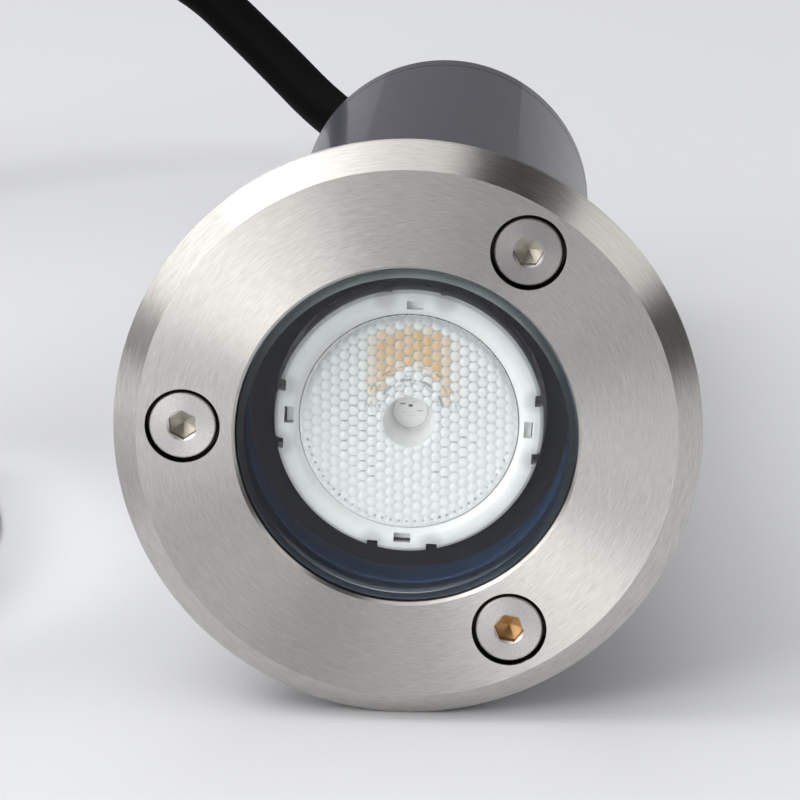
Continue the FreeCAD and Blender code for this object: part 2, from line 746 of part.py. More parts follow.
def make_can(name, across, tall, x, z, top=-8.0):
    """A round component that stands on the board, turned about the board's upright."""
    can = turned(name, [
        (0.0, 0.0), (across / 2, 0.0), (across / 2, tall - 0.6), (across / 2 - 0.6, tall),
        (0.0, tall),
    ])
    upright = Placement(Vector(x, top, z), Rotation(Vector(1, 0, 0), -90))
    pieces[name] = (can, upright, size["screw_clock"].value)


def make_driver():
    """Driver board and what stands on it."""
    block("driver_board", (-22.0, -9.6), (22.0, -8.0), -151.0, 106.0)
    core = block("transformer_core", (-12.5, -8.0), (12.5, 12.0), -104.0, 11.0)
    windows = new_sketch(core, "transformer_core_windows", height=11.0)
    for low in (-8.6, 3.6):
        rectangle(windows, (low, -4.0), (low + 5.0, 8.0))
    sunk(core, windows, 12.0, "transformer_core_window_pair")
    coil = new_body("transformer_coil", -98.5, size["screw_clock"].value)
    turns = new_sketch(coil, "transformer_coil_turns", "XZ_Plane", height=-2.0)
    rectangle(turns, (-8.3, -10.0), (8.3, 10.0))
    raised(coil, turns, 12.0, "transformer_coil_winding", symmetric=True)
    leg = new_sketch(coil, "transformer_coil_leg", "XZ_Plane", height=-2.0)
    rectangle(leg, (-3.7, -5.6), (3.7, 5.6))
    through = coil.newObject("PartDesign::Pocket", "transformer_coil_bore")
    through.Profile = leg
    through.Midplane = True
    through.Length = 13.0
    coil.Tip = through
    doc.recompute()
    make_can("smoothing_capacitor", 12.5, 20.0, -8.0, -74.0)
    make_can("choke", 11.0, 12.0, 9.0, -74.0)
    block("input_capacitor", (-9.0, -8.0), (9.0, 5.0), -126.0, 9.0)
    terminal = block("terminal_block", (-12.0, -8.0), (12.0, 4.0), -142.0, 12.0)
    wells = new_sketch(terminal, "terminal_block_wells")
    circles(wells, [(x, -2.6, size["core_dia"]) for x in (-7.5, 0.0, 7.5)])
    sunk(terminal, wells, 8.0, "terminal_block_well", upward=True)
    heads = new_body("terminal_screws", -136.0, size["screw_clock"].value)
    slots = new_sketch(heads, "terminal_screws_circles", "XZ_Plane", height=-5.0)
    circles(slots, [(x, 0.0, 3.4) for x in (-7.5, 0.0, 7.5)])
    raised(heads, slots, 1.0, "terminal_screws_heads")


# ---- wires and the lead -------------------------------------------------------------------

def arc_middle(start, corner, end):
    """The middle of the arc that touches start-corner and corner-end at its two ends."""
    chord = (start + end) * 0.5
    reach = (corner - chord).Length
    half = (end - start).Length / 2
    rise = half * math.tan(math.atan2(reach, half) / 2)
    return chord + (corner - chord).normalize() * rise


def rounded_route(points):
    """Edges through a list of corners, each rounded as widely as its runs allow."""
    edges = []
    radii = []
    here = points[0]
    for before, corner, after in zip(points, points[1:], points[2:]):
        back = (before - corner).normalize()
        ahead = (after - corner).normalize()
        half_turn = (math.pi - back.getAngle(ahead)) / 2
        cut = 0.45 * min((before - corner).Length, (after - corner).Length)
        radii.append(cut / math.tan(half_turn))
        start = corner + back * cut
        end = corner + ahead * cut
        edges.append(Part.LineSegment(here, start).toShape())
        edges.append(Part.Arc(start, arc_middle(start, corner, end), end).toShape())
        here = end
    edges.append(Part.LineSegment(here, points[-1]).toShape())
    return edges, radii


def tube_along(edges, across):
    """A round tube swept along tangent edges, checked against its section times its length."""
    path = Part.Wire(edges)
    start = edges[0].firstVertex().Point
    circle = Part.Circle(start, edges[0].tangentAt(edges[0].FirstParameter), across / 2)
    tube = path.makePipeShell([Part.Wire([circle.toShape()])], True, False)
    expected = math.pi * across * across / 4 * path.Length
    if abs(tube.Volume / expected - 1) > 0.02:
        raise ValueError(f"tube volume {tube.Volume:.1f}, expected {expected:.1f}")
    return tube, path.Length


def new_feature(name, shape, turn=0.0, on_lamp=True):
    feature = doc.addObject("Part::Feature", name)
    feature.Label = name
    feature.Shape = shape
    pieces[name] = (feature, Placement(), turn if on_lamp else None)
    return feature


def make_inner_wires():
    """Two wires from the circuit board to the driver, and the lead's cores inside the tube."""
    clock = size["screw_clock"].value
    wire_foot = board_top.value + 0.8
    for name, side in (("led_wire_red", 1), ("led_wire_black", -1)):
        points = [Vector(8.6, side * 2.2, wire_foot), Vector(12.5, side * 2.2, wire_foot),
                  Vector(12.5, side * 2.2, wire_foot - 17.0),
                  Vector(7.8, side * 3.6, wire_foot - 27.0),
                  Vector(7.8, side * 3.6, -55.0), Vector(12.0 + side, side * 2.0 - 2.0, -60.0),
                  Vector(13.0 + side * 1.5, -7.2, -64.0)]
        edges, _ = rounded_route(points)
        tube, _ = tube_along(edges, 1.6)
        new_feature(name, tube, clock)
    start = cap_foot.value + 12.0
    for name, x in (("core_brown_inner", -7.5), ("core_blue_inner", 7.5)):
        points = [Vector(math.copysign(1.7, x), -0.9, start),
                  Vector(math.copysign(1.7, x), -0.9, start + 7.0),
                  Vector(x, -2.6, -148.0), Vector(x, -2.6, -137.0)]
        edges, _ = rounded_route(points)
        tube, _ = tube_along(edges, size["core_dia"].value)
        new_feature(name, tube, clock)
    points = [Vector(0.0, 2.1, start), Vector(0.0, 2.1, start + 6.0),
              Vector(0.0, 5.2, start + 10.0), Vector(0.0, 11.6, start + 10.0),
              Vector(0.0, 14.8, start + 6.0), Vector(0.0, 14.8, cap_foot.value + 4.2)]
    edges, _ = rounded_route(points)
    tube, _ = tube_along(edges, size["core_dia"].value)
    new_feature("core_earth_inner", tube, clock)
    tag = ring("earth_tag", 25.0, size["gland_thread"] + 0.2, size["washer_thick"],
               cap_foot + 3.4, clock)
    tab = new_sketch(tag, "earth_tag_tab_outline")
    rectangle(tab, (-2.5, 11.0), (2.5, 16.2))
    raised(tag, tab, size["washer_thick"], "earth_tag_tab")


def lay_point(x, y, z):
    """A point of the lamp's own upright frame, as it lies on the table."""
    return lay.multVec(Vector(x, y, z))


def quarter_turn(start, heading, end, arrival):
    """Two tangent arcs from start to end with given directions at both."""
    span = end - start
    both = heading + arrival
    spread = 2 * (1 - heading.dot(arrival))
    along = span.dot(both)
    reach = (math.sqrt(along * along + spread * span.dot(span)) - along) / spread
    first_corner = start + heading * reach
    second_corner = end - arrival * reach
    joint = (first_corner + second_corner) * 0.5
    return [Part.Arc(start, arc_middle(start, first_corner, joint), joint).toShape(),
            Part.Arc(joint, arc_middle(joint, second_corner, end), end).toShape()]


def coil_spot(quarter):
    """Centre line of the coil after some quarter turns: in, up a layer, and out again."""
    low = size["tie_thick"].value + size["cord_dia"].value / 2
    reversal = COIL_QUARTERS_IN + COIL_QUARTERS_CLIMB / 2
    inward = min(quarter, reversal)
    outward = max(quarter - reversal, 0)
    climb = min(max(quarter - COIL_QUARTERS_IN, 0), COIL_QUARTERS_CLIMB)
    radius = size["coil_outer"].value - size["coil_step"].value * (inward - outward) / 4
    rise = (1 - math.cos(math.pi * climb / COIL_QUARTERS_CLIMB)) / 2
    angle = math.radians(size["coil_start_angle"].value + 90 * quarter)
    return Vector(COIL_CENTRE[0] + radius * math.cos(angle),
                  COIL_CENTRE[1] + radius * math.sin(angle), low + size["coil_step"].value * rise)


def coil_heading(quarter):
    step = 0.02
    return (coil_spot(quarter + step) - coil_spot(quarter - step)).normalize()


def make_cord():
    """The flying lead: out of the gland, in an arch down to the table, and into its coil."""
    across = size["cord_dia"].value
    edges = []
    for quarter in range(COIL_QUARTERS):
        edges += quarter_turn(coil_spot(quarter), coil_heading(quarter),
                              coil_spot(quarter + 1), coil_heading(quarter + 1))
    tail = coil_spot(COIL_QUARTERS) + coil_heading(COIL_QUARTERS) * across
    edges.append(Part.LineSegment(coil_spot(COIL_QUARTERS), tail).toShape())
    heading = coil_heading(0)
    entry = coil_spot(0) - heading * across
    edges.insert(0, Part.LineSegment(entry, coil_spot(0)).toShape())
    coil, coil_long = tube_along(edges, across)
    new_feature("cord_coil", coil, on_lamp=False)

    points = [
        lay_point(0, 0, cap_foot.value + 12.0),
        lay_point(0, 0, nut_foot.value - 12.0),
        Vector(-8.0, 141.0, 19.3),
        Vector(-25.8, 163.0, 21.0),
        Vector(-44.0, 178.8, 34.1),
        Vector(-64.2, 188.8, 48.6),
        Vector(-91.0, 188.9, 57.1),
        Vector(-121.0, 179.3, 57.0),
        Vector(-150.0, 157.0, 47.0),
        Vector(-170.0, 127.0, 32.0),
        Vector(-179.5, 92.0, 16.5),
        Vector(-182.3, 57.0, 6.4),
        Vector(-182.8, 24.0, 6.2),
        entry - heading * 25.0,
        entry,
    ]
    edges, radii = rounded_route(points)
    lead, lead_long = tube_along(edges, across)
    new_feature("cord_lead", lead, on_lamp=False)
    print("lead radii", [round(radius, 1) for radius in radii])
    print("lead runs", [round((b - a).Length, 1) for a, b in zip(points, points[1:])])
    print("lead", round(lead_long, 1), "coil", round(coil_long, 1))

    samples = [coil_spot(step / 12) for step in range(COIL_QUARTERS * 12 + 1)]
    gaps = [(first - second).Length for index, first in enumerate(samples)
            for second in samples[index + 20:]]
    print("least gap of the coil to itself", round(min(gaps) - across, 2))
    return tail, coil_heading(COIL_QUARTERS)


def make_lead_end(tail, heading):
    """The three cores at the lead's bare end, with stripped copper tips."""
    side = Vector(-heading.y, heading.x, 0).normalize()
    up = Vector(0, 0, 1)
    across = size["core_dia"].value
    tips = []
    for name, angle, reach in (("core_brown", 90, 37.0), ("core_blue", 210, 39.0),
                               ("core_earth", 330, 43.0)):
        away = side * math.cos(math.radians(angle)) + up * math.sin(math.radians(angle))
        points = [tail + away * 1.8, tail + away * 1.8 + heading * 7.0,
                  tail + away * 4.6 + heading * 19.0, tail + away * 5.2 + heading * reach]
        edges, _ = rounded_route(points)
        tube, _ = tube_along(edges, across)
        new_feature(name, tube, on_lamp=False)
        end = edges[-1].lastVertex().Point
        direction = edges[-1].tangentAt(edges[-1].LastParameter)
        tips.append(Part.makeCylinder(0.8, 7.0, end, direction))
    new_feature("core_tips", Part.makeCompound(tips), on_lamp=False)


def make_coil_tie():
    """A strap round the bundle of turns, with its small lock."""
    lower = coil_spot(TIE_QUARTER)
    upper = coil_spot(TIE_QUARTER + 4)
    centre = Vector(COIL_CENTRE[0], COIL_CENTRE[1], 0)
    outward = Vector(lower.x - centre.x, lower.y - centre.y, 0).normalize()
    along = Vector(-outward.y, outward.x, 0)
    half = size["cord_dia"].value / 2
    thick = size["tie_thick"].value
    reaches = [math.hypot(spot.x - centre.x, spot.y - centre.y) for spot in (lower, upper)]
    inner_wall = min(reaches) - half - 0.4
    outer_wall = max(reaches) + half + 0.4
    top = upper.z + half + 0.4
    wide = size["tie_wide"].value
    corner = centre + outward * (inner_wall - thick) - along * (wide / 2)
    turn = Placement(corner, Rotation(outward, along, Vector(0, 0, 1), "XYZ"))
    long = outer_wall - inner_wall + 2 * thick
    outer = Part.makeBox(long, wide, top + thick)
    inner = Part.makeBox(long - 2 * thick, wide, top - thick, Vector(thick, 0, thick))
    lock = Part.makeBox(6.0, wide + 1.6, 4.0, Vector(long / 2 - 3.0, -0.8, top + thick))
    upright = [edge for edge in outer.Edges if abs(edge.tangentAt(0).y) > 0.99]
    outer = outer.makeFillet(3.0, upright)
    strap = outer.cut(inner).fuse(lock).removeSplitter()
    strap.Placement = turn
    new_feature("coil_tie", strap, on_lamp=False)


# ---- the lamp as it lies ------------------------------------------------------------------

def lying_placement():
    """Turns the upright lamp onto the rim of its bezel and the edge of its rear cap."""
    rim = size["bezel_od"].value / 2
    edge = size["cap_round"].value
    fall = rim - (size["body_dia"].value / 2 - edge)
    between = bezel_foot.value - (cap_foot.value + edge)
    tilt = math.atan2(fall, between) - math.asin(edge / math.hypot(fall, between))
    face_rim = rim - size["bezel_bevel"].value
    front = -face.value * math.cos(tilt) - face_rim * math.sin(tilt)
    back = -nut_foot.value * math.cos(tilt) + 7.6 * math.sin(tilt)
    rest = rim * math.cos(tilt) - bezel_foot.value * math.sin(tilt)
    print("lies at", round(math.degrees(tilt), 3), "degrees")
    return Placement(Vector(0, -(front + back) / 2, rest),
                     Rotation(Vector(1, 0, 0), 90 - math.degrees(tilt)))


lay = lying_placement()

make_bezel()
for index, socket_turn in enumerate((0.0, 30.0, 12.0)):
    make_bezel_screw(index, socket_turn)
make_screw_seals()
make_bezel_gasket()
make_glass()
make_baffle()
make_lens_holder()
make_tir_lens()
make_light_engine()
make_front_housing()
make_joint_gasket("body_gasket", tube_top)
make_body_tube()
make_joint_gasket("rear_gasket", cap_top)
make_rear_cap()
make_port_screws("body_screws", carrier_top - 5.0, 16.0)
make_port_screws("rear_cap_screws", cap_foot + 3.6, 14.0, backwards=True)
make_gland()
make_gland_nut()
make_brackets()
make_driver()
make_inner_wires()
make_lead_end(*make_cord())
make_coil_tie()
doc.recompute()

screw_circle = size["screw_pcd"].value / 2
for name, (piece, own, turn) in pieces.items():
    if turn is None:
        continue
    place = Placement(Vector(), Rotation(Vector(0, 0, 1), turn))
    if name.startswith("bezel_screw_"):
        angle = math.radians(size["screw_clock"].value + 120 * (int(name[-1]) - 1))
        place.Base = Vector(screw_circle * math.cos(angle), screw_circle * math.sin(angle), 0)
    piece.Placement = lay * place * own
doc.recompute()

for thing in doc.Objects:
    if "Invalid" in thing.State or "Error" in thing.State:
        raise ValueError(f"{thing.Name} failed: {thing.State}")
for name, (piece, _, _) in pieces.items():
    if piece.Shape.isNull() or not piece.Shape.isValid():
        raise ValueError(f"{name} has no valid shape")

os.makedirs("parts", exist_ok=True)
for name, (piece, _, _) in pieces.items():
    piece.Shape.exportStep(f"parts/{name}.step")
print(len(pieces), "pieces")
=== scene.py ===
"""In-ground well light: the finish of its pieces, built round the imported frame.

The pieces are modelled upright, in the lamp's own frame: Z runs along the light's axis, out
of the lens, and heights count from the underside of the flange. Each is then laid down with
the lamp. Sizes are in metres.
"""

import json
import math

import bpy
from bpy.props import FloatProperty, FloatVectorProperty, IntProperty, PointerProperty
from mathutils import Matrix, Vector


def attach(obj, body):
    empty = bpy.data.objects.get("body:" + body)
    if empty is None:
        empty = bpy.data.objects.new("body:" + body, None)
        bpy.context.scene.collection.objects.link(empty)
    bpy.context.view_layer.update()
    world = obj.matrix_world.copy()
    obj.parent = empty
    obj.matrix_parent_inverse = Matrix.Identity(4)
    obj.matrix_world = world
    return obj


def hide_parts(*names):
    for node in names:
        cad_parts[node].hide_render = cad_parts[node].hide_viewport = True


bl_info = {
    "name": "In-Ground Well Light",
    "version": (1, 0, 0),
    "blender": (4, 5, 0),
    "location": "3D View > Sidebar > Well Light",
    "description": "Models and finishes the pieces of an in-ground well light",
    "category": "Object",
}

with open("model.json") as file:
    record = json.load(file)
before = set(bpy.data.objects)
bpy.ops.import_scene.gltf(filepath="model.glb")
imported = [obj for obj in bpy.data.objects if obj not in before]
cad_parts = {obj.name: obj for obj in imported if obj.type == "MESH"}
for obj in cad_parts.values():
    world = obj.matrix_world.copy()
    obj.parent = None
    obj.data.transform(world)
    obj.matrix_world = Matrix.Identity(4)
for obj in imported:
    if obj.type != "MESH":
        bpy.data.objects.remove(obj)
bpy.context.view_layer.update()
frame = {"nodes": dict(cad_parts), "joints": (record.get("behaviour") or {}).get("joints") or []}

MM = 0.001

# ---- the lamp's own frame -------------------------------------------------------------------

SCREW_JOINTS = [joint for joint in frame["joints"] if joint["name"].startswith("bezel_screw")]
LIGHT_AXIS = Vector(SCREW_JOINTS[0]["axis"]).normalized()
HEAD_FOOT = 4.9 * MM  # height at which the screws' joints are placed


def lamp_matrix():
    """From the lamp's upright frame to the frame it lies in."""
    middle = sum((Vector(joint["pos_m"]) for joint in SCREW_JOINTS), Vector()) / 3
    origin = middle - LIGHT_AXIS * HEAD_FOOT
    across = Vector((1.0, 0.0, 0.0))
    up = LIGHT_AXIS.cross(across)
    turn = Matrix((across, up, LIGHT_AXIS)).transposed()
    return Matrix.Translation(origin) @ turn.to_4x4()


LAY = lamp_matrix()
UPRIGHT = LAY.inverted()


def upright_box(node):
    """Lowest and highest corner of a CAD node in the lamp's upright frame."""
    spots = [UPRIGHT @ vertex.co for vertex in frame["nodes"][node].data.vertices]
    low = Vector([min(spot[axis] for spot in spots) for axis in range(3)])
    high = Vector([max(spot[axis] for spot in spots) for axis in range(3)])
    return low, high


def heights(node):
    """Height of a CAD node's foot and top above the underside of the flange."""
    low, high = upright_box(node)
    return low.z, high.z


def widest(node):
    """Greatest distance of a CAD node from the light's axis."""
    spots = (UPRIGHT @ vertex.co for vertex in frame["nodes"][node].data.vertices)
    return max(math.hypot(spot.x, spot.y) for spot in spots)


BEZEL_FOOT, FACE = heights("bezel")
SCREW_SPOTS = [UPRIGHT @ Vector(joint["pos_m"]) for joint in SCREW_JOINTS]


# ---- settings that a user would change ------------------------------------------------------

class WellLightSizes(bpy.types.PropertyGroup):
    """Sizes of the lamp's visible pieces."""
    rim: FloatProperty(name="Bezel radius", description="Outer radius of the bezel",
                       default=widest("bezel"), unit="LENGTH")
    opening: FloatProperty(name="Opening", description="Radius of the opening over the glass",
                           default=26.1 * MM, unit="LENGTH")
    bevel: FloatProperty(name="Bevel", description="Width of the bevel round the bezel",
                         default=3.8 * MM, unit="LENGTH")
    counterbore: FloatProperty(name="Counterbore", description="Radius of a counterbore",
                               default=5.75 * MM, unit="LENGTH")
    counterbore_deep: FloatProperty(name="Counterbore depth", description="Its depth",
                                    default=4.2 * MM, unit="LENGTH")
    head: FloatProperty(name="Screw head", description="Radius of a bezel screw's head",
                        default=5.1 * MM, unit="LENGTH")
    key: FloatProperty(name="Socket", description="Hex socket across its flats",
                       default=4.0 * MM, unit="LENGTH")
    cord: FloatProperty(name="Lead", description="Diameter of the rubber lead",
                        default=10.0 * MM, unit="LENGTH")
    lenslet: FloatProperty(name="Lenslet", description="Pitch of the lens's honeycomb",
                           default=1.6 * MM, unit="LENGTH")
    lenslet_columns: FloatProperty(name="Column spacing", default=0.885, min=0.5, max=1.0,
                                   description="Between columns of lenslets, in pitches")
    round_steps: IntProperty(name="Round steps", description="Steps round a turned piece",
                             default=240, min=24)


def colour(name, words, value):
    return FloatVectorProperty(name=name, description=words, subtype="COLOR", size=3,
                               default=value, min=0.0, max=1.0)


class WellLightColours(bpy.types.PropertyGroup):
    """Base colours of the finishes."""
    steel: colour("Steel", "Brushed stainless steel", (0.63, 0.61, 0.58))
    screw: colour("Screws", "Matt steel of the bezel's screws", (0.66, 0.64, 0.615))
    # painted shade: a darker copy of the screws' steel for the upper screw
    upper_screw_painted_shade: colour("Shaded screw", "Duller steel of the upper screw", (0.38, 0.365, 0.355))
    paint: colour("Body paint", "Dark satin coat of the housing", (0.048, 0.048, 0.065))
    rubber: colour("Rubber", "Sheath of the lead", (0.003, 0.003, 0.0035))
    seal: colour("Seal", "Rubber seals and gaskets", (0.02, 0.02, 0.022))
    baffle: colour("Baffle", "Black ring round the optic", (0.009, 0.010, 0.013))
    # painted reflection: the blue-black painted on the chamber wall stands in for the blue seen
    # through the glass
    chamber: colour("Chamber wall", "Blue-black wall behind the glass", (0.030, 0.056, 0.110))
    holder: colour("Holder", "White moulded lens holder", (0.95, 0.97, 0.97))
    lens: colour("Lens", "Lens as its white holder shows through it", (0.89, 0.91, 0.91))
    glass_edge: colour("Glass edge", "Ground edge of the glass", (0.52, 0.66, 0.61))
    # painted reflection: the blue-black wall as the glass's side and lower edge show it, painted
    # on
    painted_wall_reflection: colour("Glass wall", "Side of the glass inside the bezel", (0.10, 0.145, 0.21))
    # painted shade: the sockets are painted darker than the screws' steel, the lowest one with a
    # bronze tint
    socket: colour("Socket", "Inside of a hex socket", (0.42, 0.39, 0.33))
    # painted shade: the dark colour that the bezel takes below its flat face, as in its
    # counterbores
    recess_painted_shade: colour("Recess", "Dark inside of a counterbore", (0.06, 0.055, 0.05))
    bronze_socket_shade: colour("Bronzed socket", "Inside of the lowest screw's socket",
                          (0.48, 0.28, 0.12))
    amber: colour("Amber", "The chip's colour as the lens shows it", (0.76, 0.50, 0.23))
    # painted light: the well of the lens is painted near white, lighter than its depth lets it
    # look
    clear: colour("Clear", "Well of the lens, lit through the clear plastic", (0.97, 0.98, 0.98))
    phosphor: colour("Phosphor", "Yellow layer on the chip", (0.90, 0.58, 0.15))
    floor: colour("Floor", "Pale table top", (0.70, 0.705, 0.73))


# ---- modelling helpers ----------------------------------------------------------------------

def select_only(*pieces):
    """Leaves edit mode and selects these pieces and nothing else."""
    if bpy.context.object and bpy.context.object.mode != "OBJECT":
        bpy.ops.object.mode_set(mode="OBJECT")
    bpy.ops.object.select_all(action="DESELECT")
    for piece in pieces:
        piece.select_set(True)
    bpy.context.view_layer.objects.active = pieces[0] if pieces else None


def begin(name):
    """Takes the primitive that was just added as a new piece, and opens it in edit mode."""
    piece = bpy.context.object
    piece.name = name
    piece.data.name = name
    bpy.ops.object.transform_apply(location=True, rotation=True, scale=True)
    bpy.ops.object.mode_set(mode="EDIT")
    return piece


def close_mesh(piece, angle=35.0):
    """Leaves edit mode with merged points, outward faces and smooth shading by angle."""
    bpy.ops.mesh.select_all(action="SELECT")
    bpy.ops.mesh.remove_doubles(threshold=1e-6)
    bpy.ops.mesh.normals_make_consistent(inside=False)
    bpy.ops.object.mode_set(mode="OBJECT")
    bpy.ops.object.shade_smooth_by_angle(angle=math.radians(angle))
    return piece


def turned(name, profile, steps, loop=True, angle=35.0):
    """Turns a piece about the light's axis: a ring is drawn out from corner to corner.

    profile holds (radius, height) corners. A loop comes back to its first corner, as a ring
    does, and otherwise both ends are closed with a flat face.
    """
    radius, height = profile[0]
    select_only()
    bpy.ops.mesh.primitive_circle_add(vertices=steps, radius=radius, location=(0, 0, height),
                                      fill_type="NOTHING" if loop else "NGON")
    piece = begin(name)
    bpy.ops.mesh.select_all(action="SELECT")
    corners = profile[1:] + profile[:1] if loop else profile[1:]
    for new_radius, new_height in corners:
        bpy.ops.mesh.extrude_region_move(
            TRANSFORM_OT_translate={"value": (0, 0, new_height - height)})
        share = new_radius / radius
        bpy.ops.transform.resize(value=(share, share, 1), center_override=(0, 0, new_height))
        radius, height = new_radius, new_height
    return close_mesh(piece, angle)


def cylinder(name, radius, low, high, steps, place):
    """An upright round plug, which stands on a place of the face."""
    select_only()
    bpy.ops.mesh.primitive_cylinder_add(vertices=steps, radius=radius, depth=high - low,
                                        location=(place[0], place[1], (low + high) / 2))
    return close_mesh(begin(name))


def brick(name, low, high, turn):
    """A block from its two corners, turned about the light's axis."""
    select_only()
    bpy.ops.mesh.primitive_cube_add(size=1)
    piece = bpy.context.object
    piece.name = name
    piece.dimensions = Vector(high) - Vector(low)
    piece.location = (Vector(low) + Vector(high)) / 2
    bpy.ops.object.transform_apply(location=True, rotation=True, scale=True)
    piece.rotation_euler.z = turn
    bpy.ops.object.transform_apply(location=True, rotation=True, scale=True)
    return piece


def apply_modifier(piece, kind, **values):
    """Adds a modifier with these values and makes its result the piece's own mesh."""
    select_only(piece)
    modifier = piece.modifiers.new(kind.title(), kind)
    for name, value in values.items():
        setattr(modifier, name, value)
    bpy.ops.object.modifier_apply(modifier=modifier.name)


def cut(piece, other):
    """Takes one solid out of another; the first one named stays."""
    apply_modifier(piece, "BOOLEAN", object=other, operation="DIFFERENCE", solver="EXACT")
    bpy.data.objects.remove(other, do_unlink=True)


SHARP_EDGE = math.radians(30.0)


def soften(piece, width):
    """Rounds the sharp edges and shades the faces between them."""
    apply_modifier(piece, "BEVEL", width=width, segments=2, limit_method="ANGLE",
                   angle_limit=SHARP_EDGE, miter_outer="MITER_ARC")
    bpy.ops.object.shade_smooth_by_angle(angle=SHARP_EDGE)
    apply_modifier(piece, "WEIGHTED_NORMAL", mode="FACE_AREA", weight=90, keep_sharp=True)


def lay_down(piece, own=Matrix.Identity(4)):
    """Moves an upright piece to where it lies, with its place in its mesh."""
    select_only(piece)
    piece.matrix_world = LAY @ own
    bpy.ops.object.transform_apply(location=True, rotation=True, scale=True)


def finish_piece(piece, body, slot, material, *nodes):
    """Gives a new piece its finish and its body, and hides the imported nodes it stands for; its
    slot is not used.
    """
    piece.data.materials.clear()
    piece.data.materials.append(material)
    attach(piece, body)
    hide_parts(*nodes)


# ---- shader helpers -------------------------------------------------------------------------

def new_material(name):
    """A material with a bare Principled shader."""
    material = bpy.data.materials.new(name)
    material.use_nodes = True
    nodes = material.node_tree.nodes
    nodes.clear()
    output = nodes.new("ShaderNodeOutputMaterial")
    shader = nodes.new("ShaderNodeBsdfPrincipled")
    material.node_tree.links.new(shader.outputs["BSDF"], output.inputs["Surface"])
    return material, shader


def node(tree, kind, inputs=None, **settings):
    """Adds a node; inputs are values, or sockets that are linked."""
    made = tree.nodes.new(kind)
    for name, value in settings.items():
        setattr(made, name, value)
    for name, value in (inputs or {}).items():
        if isinstance(value, bpy.types.NodeSocket):
            tree.links.new(value, made.inputs[name])
        else:
            made.inputs[name].default_value = value
    return made


def new_group(name, inputs, outputs):
    """A shader node group with named sockets, each (name, socket type, default)."""
    group = bpy.data.node_groups.new(name, "ShaderNodeTree")
    for label, kind, value in inputs:
        socket = group.interface.new_socket(label, in_out="INPUT", socket_type=kind)
        if value is not None:
            socket.default_value = value
    for label, kind in outputs:
        group.interface.new_socket(label, in_out="OUTPUT", socket_type=kind)
    return group, group.nodes.new("NodeGroupInput"), group.nodes.new("NodeGroupOutput")


def place_group(tree, group, inputs):
    """Puts a node group into a material, with its own inputs."""
    return node(tree, "ShaderNodeGroup", inputs, node_tree=group)


def link(tree, value, socket):
    tree.links.new(value, socket)


def split(tree, vector):
    """The X, Y and Z of a vector."""
    return node(tree, "ShaderNodeSeparateXYZ", {"Vector": vector}).outputs


def arithmetic(tree, operation, first, second=0.0, third=0.0):
    return node(tree, "ShaderNodeMath", {0: first, 1: second, 2: third},
                operation=operation).outputs[0]


def mapped(tree, value, start, end, low=0.0, high=1.0, smooth=False):
    """Brings a value from start..end to low..high, and holds it at both ends."""
    return node(tree, "ShaderNodeMapRange",
                {"Value": value, "From Min": start, "From Max": end, "To Min": low,
                 "To Max": high},
                interpolation_type="SMOOTHSTEP" if smooth else "LINEAR").outputs["Result"]


def ranged(tree, mask, low, high):
    """Brings a mask from 0..1 to low..high."""
    return mapped(tree, mask, 0.0, 1.0, low, high)


def about_axis(tree, place):
    """A place's part square to the Z axis, the length of that part, and its height."""
    apart = split(tree, place)
    flat = node(tree, "ShaderNodeCombineXYZ", {"X": apart["X"], "Y": apart["Y"]})
    reach = node(tree, "ShaderNodeVectorMath", {0: flat.outputs["Vector"]}, operation="LENGTH")
    return flat.outputs["Vector"], reach.outputs["Value"], apart["Z"]


def blend_colours(tree, mask, first, second):
    """Goes from the first colour to the second by a mask; both are values or sockets."""
    mix = node(tree, "ShaderNodeMix", data_type="RGBA")
    link(tree, mask, mix.inputs[0])
    for socket, value in ((mix.inputs[6], first), (mix.inputs[7], second)):
        if isinstance(value, bpy.types.NodeSocket):
            link(tree, value, socket)
        else:
            socket.default_value = (*value, 1.0)
    return mix.outputs[2]


def varied(tree, base, mask, low, high):
    """A colour that goes from low to high times its base, by a mask."""
    return blend_colours(tree, mask, [channel * low for channel in base],
                         [min(channel * high, 1.0) for channel in base])


def bump(tree, height, strength, distance):
    return node(tree, "ShaderNodeBump", {"Height": height, "Strength": strength,
                                         "Distance": distance}).outputs["Normal"]


def painted(tree, name):
    """A mask that is kept on the points of the mesh."""
    return node(tree, "ShaderNodeAttribute", attribute_name=name).outputs["Fac"]


LINE_LENGTH = 15.0  # the higher, the shorter a turning line is
LINE_SLOPE = 0.3  # how much the height counts beside the radius, so that walls get lines too
BRUSH_DEEP = 0.02 * MM


